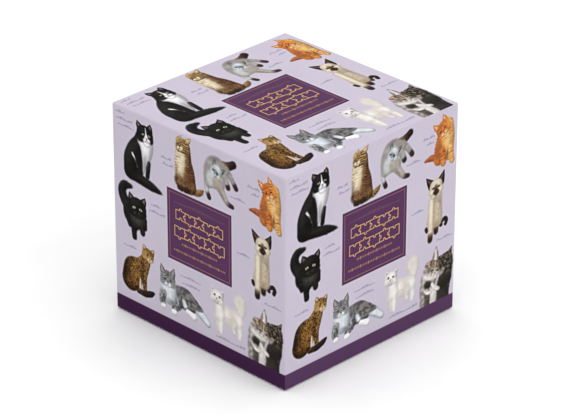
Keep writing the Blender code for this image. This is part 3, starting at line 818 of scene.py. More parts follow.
def black_longhair(art):
    black = plain((0.07, 0.065, 0.057), 0.2)
    smoke = plain((0.135, 0.13, 0.12), 0.2)
    body(
        art,
        (black, 2, 0.9, 9.4, 46.5, 3.2, 6.2, 43, 2.6, 5.4, 39.4, 2.4, 7.1, 36.8, 2.1, 10.8, 36.2, 1),
        (black, 2, 0.9, 9.4, 46.5, 3.6, 10.2, 50, 4, 13, 53, 3.4),
        (black, 1.2, 0.7, 9.4, 53, 1.6, 9.9, 55, 1.2),
        (black, 1.2, 0.7, 18.6, 50, 2.2, 19.6, 53.6, 1.2),
        (black, 1.2, 0.7, 17.4, 52, 2, 18, 56.4, 1.5),
        (black, 1.2, 0.6, 12.8, 53, 2.4, 12.5, 57.5, 1.6, 12.7, 60, 1.5),
        (smoke, 2.4, 1.2, 14.8, 48, 5, 14.7, 51, 4.3),
    )
    glazes(
        art,
        (14.8, 51.6, 3.2, 1.6, 0, (0.36, 0.35, 0.32), 0.5),
        (6, 44, 1, 3, -18, (0.24, 0.23, 0.21), 0.4),
        (17.9, 55.4, 0.8, 1.6, 0, (0.26, 0.18, 0.16), 0.5),
        (13.5, 48.6, 3, 1, 0, (0.12, 0.17, 0.13), 0.4),
    )
    head(art, (14.9, 45.3), 5.5, 0, (-0.02, 0.08), black, smoke, (0.8, 0.84, 0.68), nose=(0.05, 0.05, 0.05),
         inner=(0.36, 0.33, 0.34), ears=(0.88, 0.6), rim=(0.03, 0.03, 0.03), whisker=(0.4, 0.4, 0.4), eye=1.0,
         shape=(1.02, 0.88), fur=1.6)


def spotted_cat(art):
    gold = plain((0.52, 0.37, 0.17), 0.18, 0.8)
    dark = plain((0.17, 0.1, 0.05))
    spots = spotted(gold, dark, 0.5, 0.5)
    body(
        art,
        (spots, 0.8, 0.6, 19.6, 68.4, 2.4, 15.4, 72.8, 3.2, 11, 75.6, 5, 9.8, 81.8, 5.6),
        (spots, 0.8, 0.6, 20.4, 70, 2, 19.2, 74, 2.1, 18.4, 78, 1.7, 18.8, 84, 1.2),
        (spots, 0.8, 1.5, 16, 74, 3.2, 14.8, 79, 2.6, 13, 83, 2.8),
        (plain((0.86, 0.79, 0.7)), 0.6, 0.8, 15.8, 79.8, 0.4, 15.8, 84, 0.8),
        (along(spots, plain((0.12, 0.09, 0.08)), 0, 0.3), 1, 0.6, 14.5, 86, 1.2, 18.8, 85.9, 1.6, 22.4,
         84.8, 1.5,
         24.2, 83.8, 0.8),
    )
    glazes(
        art,
        (6.0, 79, 2, 7.4, 6, (0.09, 0.05, 0.03), 0.85),
        (8.6, 73.4, 1.6, 2, 40, (0.18, 0.11, 0.06), 0.45),
        (10.5, 86.2, 5, 1.8, 0, (0.12, 0.07, 0.04), 0.75),
        (10.6, 82, 2.2, 3, 10, (0.42, 0.24, 0.12), 0.4),
        (12.8, 77, 2.4, 3.6, 20, (0.66, 0.48, 0.22), 0.3),
        (18.8, 76.5, 0.9, 1, 0, (0.72, 0.58, 0.38), 0.5),
        (20, 71.5, 1.3, 2, 15, (0.66, 0.5, 0.28), 0.35),
        (17.4, 79.5, 0.5, 3, 4, (0.16, 0.1, 0.06), 0.5),
        (17.5, 72, 1, 2.6, 20, (0.24, 0.15, 0.08), 0.4),
    )
    head(art, (21.0, 66.0), 3.7, 8, (0.32, 0.14), spotted(plain((0.57, 0.43, 0.22), 0.14), dark, 0.5, 0.2),
         plain((0.82, 0.72, 0.56)), (0.45, 0.38, 0.16), mark=(0.26, 0.16, 0.07), ears=(0.86, 0.6),
         inner=(0.78, 0.69, 0.62), cheek=plain((0.68, 0.54, 0.34), 0.1), fur=0.6, eye=0.7, lid=0.5,
         nose=(0.5, 0.28, 0.2))


def silver_longhair(art):
    grey = plain((0.56, 0.555, 0.56), 0.12)
    dark = plain((0.33, 0.325, 0.33), 0.1)
    fleck = mottled(plain((0.64, 0.64, 0.65), 0.1), dark, 1.0)
    coal = mottled(plain((0.48, 0.465, 0.46), 0.15), plain((0.29, 0.28, 0.28)), 1.3)
    frost = outward(plain((0.86, 0.885, 0.905), 0.05), plain((0.7, 0.725, 0.75), 0.05), 0.4, 1.1)
    white = plain((0.96, 0.955, 0.96), 0.02)
    body(
        art,
        (frost, 1.9, 1, 51.5, 80.8, 2, 54.8, 82.6, 2.1, 58.6, 85.4, 1.5),
        (coal, 1.8, 0.8, 40, 77.4, 3.6, 45, 77.2, 3.6, 49.6, 79, 2.8, 54.4, 80.4, 0.9),
        (coal, 1.6, 1, 41.5, 80.6, 3.2, 45, 81.4, 2.8, 48.5, 81.6, 2.4),
        (frost, 1.4, 1.4, 43.6, 80.4, 1.2, 44.4, 82.2, 1.4),
        (white, 0.9, 0.6, 46, 84.4, 1.3, 49.8, 85.6, 1.7),
        (fleck, 1.2, 0.9, 39.6, 79.8, 2.2, 40.2, 83.2, 2.1, 37.4, 86, 1.7),
        (frost, 2.2, 1.3, 33.8, 76.6, 4.9, 34.2, 80.2, 4.7),
        (fleck, 1.2, 0.8, 30.4, 80.8, 2.2, 29.8, 84, 1.9, 30.4, 86, 1.5),
        (white, 0.5, 0.5, 30.2, 87, 1.3, 31, 87, 1.2),
        (white, 0.5, 0.5, 37, 87.8, 1.4, 37.9, 87.8, 1.3),
    )
    glazes(
        art,
        (45.6, 74.2, 5, 0.9, 8, (0.26, 0.25, 0.25), 0.6),
        (52.2, 78.4, 3, 0.8, 36, (0.3, 0.29, 0.3), 0.5),
        (29.6, 84.6, 1, 1.3, 0, (0.26, 0.26, 0.26), 0.55),
        (40.4, 78.4, 0.9, 3, -15, (0.3, 0.31, 0.33), 0.55),
        (36, 83.4, 2.4, 0.7, 15, (0.36, 0.37, 0.38), 0.45),
        (46.5, 76.8, 1.6, 1.2, 0, (0.6, 0.585, 0.575), 0.45),
        (51.4, 82, 1.2, 1.5, 0, (0.7, 0.72, 0.74), 0.4),
    )
    head(art, (33.5, 72.9), 4.7, -1, (0.0, 0.12), striped(grey, dark, 1.2, 0.45), plain((0.86, 0.87, 0.89)),
         (0.48, 0.5, 0.46), cheek=grey, mark=(0.25, 0.25, 0.25), nose=(0.3, 0.29, 0.31), ears=(0.86, 0.84),
         inner=(0.6, 0.56, 0.57), ear=plain((0.42, 0.41, 0.4)), eye=0.8, lid=0.2, whisker=(0.8, 0.82, 0.84))
    glazes(art, (33.4, 70.8, 0.7, 1, 0, (0.22, 0.22, 0.22), 0.5),
           (33.6, 77.6, 3.6, 1, 0, (0.9, 0.92, 0.94), 0.4))


def white_longhair(art):
    white = outward(plain((0.92, 0.9, 0.88), 0.02), plain((0.83, 0.812, 0.8), 0.03), 0.3, 1.05)
    shade = outward(plain((0.88, 0.852, 0.82), 0.03), plain((0.8, 0.778, 0.765), 0.03), 0.3, 1.05)
    body(
        art,
        (shade, 2.3, 1.9, 76.6, 76, 2, 78.4, 71.6, 2.6, 78, 67.8, 3.9),
        (white, 1.4, 1.9, 76.6, 78, 2.8, 77.9, 81.5, 1.6, 78, 85, 1.1),
        (shade, 1.2, 1.9, 64.8, 80, 2.2, 65, 85.4, 1.2),
        (white, 2.2, 1.9, 66, 76, 4.2, 70.5, 76.2, 3.8, 76, 76.8, 3.9),
        (shade, 1.8, 1.9, 69.5, 79.6, 1.8, 73.5, 79.8, 1.6),
        (shade, 1.4, 1.9, 74.6, 79, 2.2, 74.2, 81, 1.3, 74.6, 83.4, 1),
        (white, 1.2, 1.9, 66.2, 79, 2.2, 66.6, 86, 1.2),
        (white, 2.2, 1.9, 64.8, 72.5, 3.8, 65.4, 77.5, 3.4),
        depth=0.05,
    )
    glazes(
        art,
        (73.2, 75.6, 1.6, 2.8, 0, (0.79, 0.755, 0.7), 0.55),
        (71, 80.2, 3.4, 1.2, 0, (0.77, 0.73, 0.67), 0.5),
        (62.2, 74.8, 1.2, 3, -10, (0.7, 0.68, 0.71), 0.6),
        (67.6, 73.6, 0.9, 2.2, 20, (0.72, 0.7, 0.71), 0.6),
        (69, 82, 0.7, 3, 0, (0.75, 0.73, 0.75), 0.5),
        (78.6, 68.4, 1.6, 2.6, 0, (0.82, 0.815, 0.76), 0.5),
        (66.6, 78, 0.8, 4, 0, (0.98, 0.98, 0.96), 0.6),
        (77.9, 77, 1.2, 2.4, 0, (0.96, 0.95, 0.93), 0.5),
    )
    head(art, (64.2, 69.9), 3.9, 6, (0.0, -0.12), white, plain((0.88, 0.865, 0.86), 0.02), (0.4, 0.44, 0.48),
         nose=(0.42, 0.38, 0.4), rim=(0.24, 0.23, 0.25), ears=(0.9, 0.42), inner=(0.66, 0.63, 0.65),
         fur=1.5, eye=0.8,
         whisker=(0.75, 0.74, 0.78))
    glazes(art, (62.6, 72.6, 1.6, 1, 20, (0.7, 0.68, 0.7), 0.5), (64.9, 68.3, 1.6, 0.9, 0, (1, 1, 1), 0.4))


def cuddling_kittens(art):
    cream = plain((0.86, 0.835, 0.81), 0.1)
    haze = mottled(plain((0.74, 0.71, 0.69), 0.12), plain((0.5, 0.47, 0.44)), 1.4)
    fawn = mottled(plain((0.64, 0.56, 0.47), 0.12), plain((0.36, 0.29, 0.23)), 0.9)
    smoke = mottled(plain((0.43, 0.39, 0.33), 0.15), plain((0.15, 0.13, 0.11)), 0.9)
    dark = plain((0.175, 0.16, 0.14), 0.2)
    pink = plain((0.85, 0.8, 0.81))
    body(
        art,
        (smoke, 2, 1.2, 99.8, 74, 3.8, 99.6, 80, 3.8, 98, 86, 4.2, 97, 93, 4.4),
        (haze, 2.2, 2, 89, 75, 3.6, 87, 81, 3.6, 87.2, 93, 3.6),
        (cream, 2, 1.6, 91.8, 84, 2.6, 91.2, 93, 2.6),
        (plain((0.28, 0.26, 0.245), 0.2), 1.8, 1.6, 87.8, 87.2, 1.6, 87.6, 93, 1.6),
        (dark, 1.8, 1.8, 97.4, 86, 3.2, 98, 93, 3.6),
        (smoke, 0.8, 0.6, 100.6, 72, 2, 102, 70.4, 1.2, 103.1, 68.4, 0.2),
    )
    head(art, (98.8, 74.4), 5.0, -6, (-0.42, 0.18), smoke, plain((0.56, 0.52, 0.47)), (0.46, 0.44, 0.26),
         mark=(0.13, 0.115, 0.1), lid=0.7, nose=(0.36, 0.28, 0.26), inner=(0.3, 0.26, 0.23), fur=1.6, eye=0.8,
         ears=(0.5, 0.1), rim=(0.07, 0.06, 0.05), cheek=smoke)
    body(
        art,
        (haze, 1, 0.9, 92.2, 72, 2.2, 92.8, 68.6, 1.6, 93, 65.4, 0.3),
        (pink, 0.6, 1, 92.9, 72, 1.1, 93, 67, 0.5),
        (fawn, 1.2, 1.2, 89.6, 73.4, 2, 87.6, 72.4, 1.4),
    )
    head(art, (91.2, 75.0), 4.5, 16, (0.34, 0.22), fawn, plain((0.76, 0.73, 0.7)), (0.34, 0.28, 0.2),
         cheek=haze, blaze=plain((0.74, 0.7, 0.66)), lid=0.9, mark=(0.3, 0.23, 0.17), ears=(0.5, 0.1),
         nose=(0.5, 0.34, 0.32), inner=(0.6, 0.52, 0.46), fur=1.6, eye=0.8)
    body(
        art,
        (cream, 1.8, 2, 86.2, 77.6, 1.3, 89.4, 79.2, 1.5, 92.8, 79.8, 1),
        (dark, 1.8, 1.5, 97.6, 83.6, 3.2, 100, 83.2, 3),
        (dark, 1.4, 1.5, 87.2, 81.8, 1.6, 88.5, 82.2, 1.7),
        (haze, 1.4, 1.6, 92, 81.4, 1, 91.4, 83.6, 1),
        (cream, 1, 0.7, 85.8, 84.6, 0.35, 87.6, 86, 0.8, 89.8, 86.4, 0.9),
        (cream, 1, 0.7, 90.8, 82.8, 0.8, 92.4, 84.9, 1.2, 95, 86.3, 0.9),
    )
    glazes(
        art,
        (95.9, 79, 1.1, 0.9, 0, (0.88, 0.84, 0.8), 0.6),
        (93.8, 86, 1, 0.7, 30, (1, 0.99, 0.98), 0.6),
        (88.6, 86.2, 1, 0.6, 20, (1, 0.99, 0.98), 0.6),
        (102.6, 80, 0.9, 6, 0, (0.12, 0.1, 0.09), 0.6),
        (98.6, 84, 3, 2.4, 0, (0.12, 0.1, 0.09), 0.6),
        (95.6, 74.4, 0.7, 3.4, -8, (0.24, 0.2, 0.17), 0.5),
        (91.6, 88.6, 1, 3, 0, (0.88, 0.87, 0.85), 0.5),
    )


CATS = (
    tuxedo_cat, brown_tabby, playing_kitten, orange_tabby, siamese, black_longhair, spotted_cat,
    silver_longhair, white_longhair, cuddling_kittens,
)

# Wavy pen lines among the cats: (left end, right end, y)
SCRAWLS = (
    (2.0, 7.5, 3.0), (2.6, 12.5, 6.0), (3.5, 13.5, 8.8), (30.5, 36.5, 15.4), (31.5, 37.5, 18.2),
    (73.0, 81.5, 19.4),
    (83.0, 90.0, 11.0), (85.5, 89.5, 13.8), (76.5, 84.0, 44.2), (23.5, 29.5, 40.6), (22.5, 32.0, 43.8),
    (93.0, 103.0, 62.4), (41.5, 54.0, 68.3), (42.5, 53.5, 71.6), (5.5, 13.5, 66.2), (63.5, 81.0, 89.4),
)
PEN_SIZE, PEN_WIDTH, FIRST_PEN_SEED = 2.2, 0.105, 40


def scrawl(art, left, right, y, size, colour, width, seed, alpha=0.85):
    """A leaning wavy pen line that swells and sinks, with no letters in it."""
    draw = np.random.default_rng(seed)
    waves = round((right - left) / (size * 0.4))
    along = np.linspace(0, 1, waves * 14 + 1)
    swell = 0.36 + 0.2 * np.sin(2 * np.pi * (along * draw.uniform(0.9, 1.6) + draw.uniform()))
    rise = size * swell * (0.5 - 0.5 * np.cos(2 * np.pi * waves * along))
    curve = np.column_stack((left + (right - left) * along + 0.45 * rise, y - rise))
    for start in range(0, len(curve) - 1, 40):
        art.line(curve[start : start + 41], [width, width * 0.6, width], colour, alpha, 0.14, count=120)


def piece_outline(middle, wide, tall, tabs, knob=0.62):
    """The outline of one jigsaw piece. Each side, from the top clockwise, is out (1), in (-1) or flat (0)."""
    corners = ((-1, -1), (1, -1), (1, 1), (-1, 1))
    points = []
    for k, tab in enumerate(tabs):
        x0, y0 = corners[k]
        x1, y1 = corners[(k + 1) % 4]
        x0, x1, y0, y1 = x0 * wide / 2, x1 * wide / 2, y0 * tall / 2, y1 * tall / 2
        points.append((x0, y0))
        if tab:
            out = (0, -1), (1, 0), (0, 1), (-1, 0)
            ox, oy = out[k][0] * tab, out[k][1] * tab
            mx, my = (x0 + x1) / 2, (y0 + y1) / 2
            length = math.hypot(x1 - x0, y1 - y0)
            ax, ay = (x1 - x0) / length, (y1 - y0) / length
            for turn in range(-125, 126, 25):
                a = math.radians(turn)
                side, rise = math.sin(a) * knob, math.cos(a) * knob + 0.75 * knob
                points.append((mx + ax * side + ox * rise, my + ay * side + oy * rise))
    points.append(points[0])
    return [(middle[0] + x, middle[1] + y) for x, y in points]


# The plaque: its left, top, right and bottom, the gold rule round it, each row of pieces as
# (y, height, step), and each row of dots as (y, count)
PLAQUE = (33.9, 28.1, 73.4, 62.1)
RULE_INSET, RULE_WIDTH = 1.3, 0.22
PIECE_ROWS = ((39.3, 4.3, 5.75), (47.3, 4.7, 6.1))
DOT_ROWS = ((52.7, 22), (56.7, 32))


def plaque(art):
    """The dark panel: a gold rule, a wavy line, two rows of jigsaw pieces in outline and two rows of dots."""
    x0, y0, x1, y1 = PLAQUE
    art.block(x0, y0, x1, y1, PLUM)
    for inset, colour in ((RULE_INSET, GOLD_DULL), (RULE_INSET + RULE_WIDTH, PLUM)):
        art.block(x0 + inset, y0 + inset, x1 - inset, y1 - inset, colour)
    middle = (x0 + x1) / 2
    scrawl(art, middle - 15.5, middle + 15.5, 34.0, 2.6, GOLD_DULL, 0.1, 90, 0.5)
    for row, (y, tall, step) in enumerate(PIECE_ROWS):
        for k in range(5):
            turn = 1 if (k + row) % 2 else -1
            at = (middle + (k - 2) * step, y)
            tabs = (-turn, 0 if k == 4 else turn, turn, 0 if k == 0 else turn)
            outline = piece_outline(at, step, tall, tabs)
            for a, b in zip(outline[:-1], outline[1:]):
                art.line([a, b], [0.21, 0.21], GOLD, soft=0.1, count=40)
    for y, count in DOT_ROWS:
        for k in range(count):
            size = (0.42, 0.78) if k % 5 == 2 else (0.28, 0.56)
            art.dot((middle + (k - (count - 1) / 2), y), size, GOLD_DULL)


def paint_art():
    """(the picture alone, the picture with its plaque), each as rows of sRGB."""
    art = Art(ART_PIXELS_PER_MM)
    for seed, (left, right, y) in enumerate(SCRAWLS):
        scrawl(art, left, right, y, PEN_SIZE, INK, PEN_WIDTH, FIRST_PEN_SEED + seed)
    for cat in CATS:
        art.cover[:] = 0
        cat(art)
    picture = art.crisp()
    plaque(art)
    return picture * PRINT_TONE, art.crisp() * PRINT_TONE


# ---------------------------------------------------------------------------
# The lid: five printed faces that meet along the rounded edges, and the turned-in rim
# ---------------------------------------------------------------------------

EDGE_RADIUS = 0.9 * MM
PAPER = 0.25 * MM
BOARD = 1.5 * MM
PRINT_DEPTH = 0.30 * MM
BAND_HEIGHT_MM = 8.0
# The band's ink as lit on the front and right, and the same band painted darker for the left and back as
# painted shade
BAND = (0.318, 0.211, 0.335)
BAND_IN_PAINTED_SHADE = (0.224, 0.113, 0.237)
FACE_CELLS = 512
MOST_FACES = 190_000
COLOUR_STEP = 0.018
SHAPE_STEP = 0.01 * MM
FOLD_STEPS = 8
RIM_FOLD = 0.45 * MM
TURN_IN = 15.0 * MM
TURN_IN_GAP = 0.35 * MM
LEAST_RADIUS = 0.15 * MM


def refined(values, tolerance):
    """(points, triangles) over a square grid, small only where the values bend. Points are (row, column)."""
    n = len(values) - 1
    flat = values.reshape(-1, values.shape[-1])

    def key(p):
        return p[:, 0] * (n + 1) + p[:, 1]

    roots = np.array([[[0, 0], [n, n], [n, 0]], [[n, n], [0, 0], [0, n]]])
    levels, tri = [], roots
    while True:
        total = tri[:, 0] + tri[:, 1]
        if (total[0] % 2).any():
            break
        levels.append((tri, total // 2))
        tri = halves(tri, total // 2)
    error = np.zeros(len(flat), np.float32)
    for depth in range(len(levels) - 1, -1, -1):
        tri, middle = levels[depth]
        own = np.abs(flat[key(middle)] - (flat[key(tri[:, 0])] + flat[key(tri[:, 1])]) / 2).max(axis=1)
        if depth + 1 < len(levels):
            below = error[key(levels[depth + 1][1])]
            own = np.maximum(own, np.maximum(below[: len(tri)], below[len(tri) :]))
        np.maximum.at(error, key(middle), own)
    done, tri = [], roots
    for depth in range(len(levels)):
        middle = (tri[:, 0] + tri[:, 1]) // 2
        split = error[key(middle)] > tolerance
        done.append(tri[~split])
        tri = halves(tri[split], middle[split])
    done.append(tri)
    tri = np.concatenate(done)
    found, index = np.unique(tri.reshape(-1, 2) @ (n + 1, 1), return_inverse=True)
    return np.stack([found // (n + 1), found % (n + 1)], axis=1), index.reshape(-1, 3)


def halves(tri, middle):
    a, b, c = tri[:, 0], tri[:, 1], tri[:, 2]
    return np.concatenate([np.stack([c, a, middle], 1), np.stack([b, c, middle], 1)])


def sampled(image, u, v):
    """The picture's colours where u runs right and v up, both from 0 to 1, averaged over a grid cell."""
    rows, columns = image.shape[0] // 2 * 2, image.shape[1] // 2 * 2
    half = image[:rows, :columns].reshape(rows // 2, 2, columns // 2, 2, 3).mean(axis=(1, 3))
    x = np.clip(u * half.shape[1] - 0.5, 0, half.shape[1] - 1.001)
    y = np.clip((1 - v) * half.shape[0] - 0.5, 0, half.shape[0] - 1.001)
    ix, iy = x.astype(int), y.astype(int)
    fx, fy = (x - ix)[..., None], (y - iy)[..., None]
    low = half[iy, ix] * (1 - fx) + half[iy, ix + 1] * fx
    high = half[iy + 1, ix] * (1 - fx) + half[iy + 1, ix + 1] * fx
    return low * (1 - fy) + high * fy


def folded(run, low, high):
    """For places measured along the paper: (place in the flat part, lean of the rounded edge past it)."""
    core = np.clip(run, low, high)
    return core, np.tan(np.clip((run - core) / EDGE_RADIUS, -math.pi / 4, math.pi / 4))


def side_face(picture, half, rim, top, band_colour):
    """A side of the lid in its own axes: (right, up, out) places, normals and colours over the grid."""
    flat = half - EDGE_RADIUS
    arc = EDGE_RADIUS * math.pi / 4
    run_x = np.linspace(-flat - arc, flat + arc, FACE_CELLS + 1)
    run_z = np.linspace(rim, top - EDGE_RADIUS + arc, FACE_CELLS + 1)
    x, z = np.meshgrid(run_x, run_z)
    core_x, lean_x = folded(x, -flat, flat)
    core_z, lean_z = folded(z, rim, top - EDGE_RADIUS)
    band = BAND_HEIGHT_MM * MM
    colours = sampled(picture, (x - run_x[0]) / (run_x[-1] - run_x[0]), (z - band) / (run_z[-1] - band))
    share = smooth(-0.10 * MM, 0.10 * MM, band - z)[..., None]
    # band_colour is darker on the left and back sides: painted shade
    colours = colours * (1 - share) + np.array(band_colour) * share
    return face_from(core_x, core_z, lean_x, lean_z, half, colours)


def top_face(picture, half, top):
    flat = half - EDGE_RADIUS
    arc = EDGE_RADIUS * math.pi / 4
    run = np.linspace(-flat - arc, flat + arc, FACE_CELLS + 1)
    x, y = np.meshgrid(run, run)
    core_x, lean_x = folded(x, -flat, flat)
    core_y, lean_y = folded(y, -flat, flat)
    share = (run - run[0]) / (run[-1] - run[0])
    u, v = np.meshgrid(share, share)
    return face_from(core_x, core_y, lean_x, lean_y, top, sampled(picture, u, v))


def face_from(core_x, core_y, lean_x, lean_y, out, colours):
    normal = np.stack([lean_x, lean_y, np.ones_like(lean_x)], axis=-1)
    normal /= np.linalg.norm(normal, axis=-1, keepdims=True)
    core = np.stack([core_x, core_y, np.full_like(core_x, out - EDGE_RADIUS)], axis=-1)
    place = core + EDGE_RADIUS * normal
    weighted = np.concatenate([colours, place * (COLOUR_STEP / SHAPE_STEP)], axis=-1)
    tolerance = COLOUR_STEP
    while True:
        at, triangles = refined(weighted, tolerance)
        if len(triangles) < MOST_FACES:
            break
        tolerance *= 1.2
    take = (at[:, 0], at[:, 1])
    place, normal, colours = place[take], normal[take], colours[take]
    return back_closed(at, triangles, place, normal, colours, out)


def back_closed(at, triangles, place, normal, colours, out):
    """The face with a skirt and one flat back, so that the paper is a closed solid."""
    n = FACE_CELLS
    ring = []
    for side, other, backwards in ((0, 0, False), (1, n, False), (0, n, True), (1, 0, True)):
        on = np.flatnonzero(at[:, side] == other)
        order = on[np.argsort(at[on, 1 - side])]
        ring += list(order[::-1] if backwards else order)[:-1]
    inner = place[ring].copy()
    inner[:, :2] -= normal[ring, :2] * EDGE_RADIUS
    inner[:, 2] = out - PRINT_DEPTH
    count, first = len(ring), len(place)
    skirt = []
    for k in range(count):
        m = (k + 1) % count
        skirt.append((ring[m], ring[k], first + k, first + m))
    faces = orient(triangles, place)
    back = tuple(range(first + count - 1, first - 1, -1))
    place = np.concatenate([place, inner])
    down = np.tile((0.0, 0.0, -1.0), (count, 1))
    colours = np.concatenate([colours, np.full((count, 3), 0.9)])
    return place, np.concatenate([normal, down]), colours, faces, skirt, back


def orient(triangles, place):
    """Triangles turned to face out, in a face's own axes."""
    a, b, c = (place[triangles[:, k], :2] for k in range(3))
    turned = (b[:, 0] - a[:, 0]) * (c[:, 1] - a[:, 1]) - (b[:, 1] - a[:, 1]) * (c[:, 0] - a[:, 0]) < 0
    triangles = triangles.copy()
    triangles[turned] = triangles[turned][:, ::-1]
    return triangles


def printed_piece(name, face, right, up, out):
    place, normal, colours, triangles, skirt, back = face
    axes = np.array([right, up, out], float)
    mesh = bpy.data.meshes.new(name)
    points = place @ axes
    loops = np.concatenate([triangles.ravel(), np.array(skirt).ravel(), np.array(back)]).astype(np.int32)
    sizes = np.concatenate([np.full(len(triangles), 3), np.full(len(skirt), 4), [len(back)]])
    mesh.vertices.add(len(points))
    mesh.vertices.foreach_set("co", points.astype(np.float32).ravel())
    mesh.loops.add(len(loops))
    mesh.loops.foreach_set("vertex_index", loops)
    mesh.polygons.add(len(sizes))
    mesh.polygons.foreach_set("loop_start", np.concatenate([[0], np.cumsum(sizes)[:-1]]).astype(np.int32))
    mesh.polygons.foreach_set("use_smooth", np.ones(len(sizes), bool))
    mesh.update(calc_edges=True)
    mesh.validate()
    mesh.normals_split_custom_set_from_vertices((normal @ axes).tolist())
    set_colours(mesh, colours)
    mesh.materials.append(PRINTED_PAPER)
    made = in_scene(bpy.data.objects.new(name, mesh))
    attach(made, "lid")
    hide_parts("lid_wrap")


def printed_paper():
    """Satin laminated print: the painted colours, with the white paper rubbed bare a little on the edges,
    which is partly wear and partly a painted highlight along the rounded edges.
    """
    n = Nodes("printed_paper_satin")
    at = n.place()
    drift = n.noise(70, 3.0, 0.6, at)
    fine = n.noise(2600, 3.0, 0.6, at)
    tinted = n.mix(n.spread(drift, 0.3, 0.7, 0.0, 0.15), n.attribute("print", "Color"), (0.80, 0.78, 0.80),
                   "MULTIPLY")
    low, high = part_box("lid_wrap")
    centre, half = (np.array(low) + np.array(high)) / 2, (np.array(high) - np.array(low)) / 2
    apart = n.add("SeparateXYZ", Vector=at)
    gaps = []
    for axis in range(3):
        off = n.maths("ABSOLUTE", n.maths("SUBTRACT", apart.outputs[axis], float(centre[axis])))
        gaps.append(n.maths("SUBTRACT", float(half[axis]), off))
    # The second smallest distance to a side is the distance to an edge of the box.
    least, most, total = (
        n.maths(kind, n.maths(kind, gaps[0], gaps[1]), gaps[2]) for kind in ("MINIMUM", "MAXIMUM", "ADD")
    )
    second = n.maths("SUBTRACT", n.maths("SUBTRACT", total, least), most)
    # Lighter near every edge, patchy with noise: partly paper rubbed bare, partly a painted highlight on the
    # rounded edges
    rub_and_highlight_noise = n.noise(240, 5.0, 0.65, at)
    near = n.spread(second, 0.0, 1.1 * MM, 0.62, 0.0)
    edge_wear_and_highlight = n.spread(n.maths("ADD", near, rub_and_highlight_noise), 1.02, 1.25, 0.0, 0.55)
    base = n.mix(edge_wear_and_highlight, tinted, (0.86, 0.84, 0.83))
    n.bump(n.maths("ADD", fine, n.maths("MULTIPLY", n.noise(160, 2.0, 0.5, at), 1.5)), 0.012 * MM)
    return n.set(Base_Color=base, Roughness=n.spread(drift, 0.3, 0.7, 0.42, 0.52), Specular_IOR_Level=0.02)


def lid_faces():
    picture, with_plaque = paint_art()
    low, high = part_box("lid_wrap")
    half, rim, top = high[0], low[2], high[2]
    x, y, z = np.eye(3)
    # The left and back sides take the band in painted shade, darker than on the lit front and right
    dark, light = (side_face(with_plaque, half, rim + RIM_FOLD, top, band) for band in (BAND_IN_PAINTED_SHADE, BAND))
    for name, face, right, out in (("front", light, x, -y), ("left", dark, -y, -x), ("back", dark, -x, y),
                                   ("right", light, y, x)):
        printed_piece("lid_print_" + name, face, right, z, out)
    printed_piece("lid_print_top", top_face(with_plaque, half, top), x, y, z)
    rim_piece(half, rim)
    return picture


def fold():
    """A quarter turn's distances in from its two straight sides, as shares of its radius."""
    turns = (math.pi / 2 * step / FOLD_STEPS for step in range(FOLD_STEPS + 1))
    return [(1 - math.cos(a), 1 - math.sin(a)) for a in turns]


def rim_piece(half, rim):
    """The paper round the lid's rim: folded under the board and glued up inside it."""
    inner_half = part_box("lid_board")[1][0] - BOARD - TURN_IN_GAP
    profile = [(half - RIM_FOLD * x, rim + RIM_FOLD * y) for x, y in fold()]
    profile += [(inner_half + RIM_FOLD * y, rim + RIM_FOLD * x) for x, y in fold()]
    profile += [(inner_half, rim + TURN_IN), (inner_half + PAPER, rim + TURN_IN),
                (inner_half + PAPER, rim + PAPER)]
    profile += [(half - PRINT_DEPTH, rim + PAPER), (half - PRINT_DEPTH, rim + RIM_FOLD)]
    rings = [square_ring(h, z, max(LEAST_RADIUS, EDGE_RADIUS - (half - h))) for h, z in profile]
    made = faced_out(new_object("lid_rim_paper", *skin(rings, closed=True)))
    set_colours(made.data, np.tile(PLUM, (len(made.data.vertices), 1)))
    made.data.materials.append(PRINTED_PAPER)
    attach(made, "lid")
    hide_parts("lid_wrap")


# ---------------------------------------------------------------------------
# The tray and the bag of pieces
# ---------------------------------------------------------------------------

TRAY_FOLD = 0.4 * MM


def tray_paper():
    """Dark paper round the tray, over its rim and down inside."""
    low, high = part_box("tray_wrap")
    half, bottom, top = high[0], low[2], high[2]
    inner_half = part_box("tray_board")[1][0] - BOARD - TURN_IN_GAP
    under = half - TURN_IN
    profile = [(under, bottom + PAPER), (under, bottom)]
    profile += [(half - TRAY_FOLD * y, bottom + TRAY_FOLD * x) for x, y in fold()]
    profile += [(half - EDGE_RADIUS * x, top - EDGE_RADIUS * y) for x, y in fold()]
    profile += [(inner_half + TRAY_FOLD * y, top - TRAY_FOLD * x) for x, y in fold()]
    profile += [(inner_half, top - TURN_IN), (inner_half + PAPER, top - TURN_IN),
                (inner_half + PAPER, top - PAPER)]
    profile += [(half - EDGE_RADIUS, top - PAPER), (half - PAPER, top - EDGE_RADIUS),
                (half - PAPER, bottom + PAPER)]
    rings = [square_ring(h, z, max(LEAST_RADIUS, EDGE_RADIUS - max(0.0, half - h))) for h, z in profile]
    made = faced_out(new_object("tray_outer_paper", *skin(rings, closed=True)))
    made.data.materials.append(DARK_PAPER)
    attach(made, "tray")
    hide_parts("tray_wrap")


def carried_over():
    """Better finishes for the board, stays and base sheet, which keep their CAD meshes."""
    for name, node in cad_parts.items():
        if name in ("lid_board", "tray_board"):
            kept = GREYBOARD
        elif "stay" in name:
            kept = STAY_PAPER
        elif name == "tray_base_sheet":
            kept = DARK_PAPER
        else:
            continue
        for place in node.material_slots:
            place.material = kept


# The puzzle's cut, as in the CAD model, in millimetres
PUZZLE_ROWS = PUZZLE_COLUMNS = 10
PIECE_WIDTH, PIECE_DEPTH, PIECE_THICKNESS = 38.0, 26.0, 1.9
KNOB_RADIUS, KNOB_OFFSET, KNOB_ANGLE = 3.1, 3.2, math.radians(140)
NECK_HALF_WIDTH = 2.6
KNOB_DRIFT, CUT_SEED = 0.08, 26
KERF = 0.07
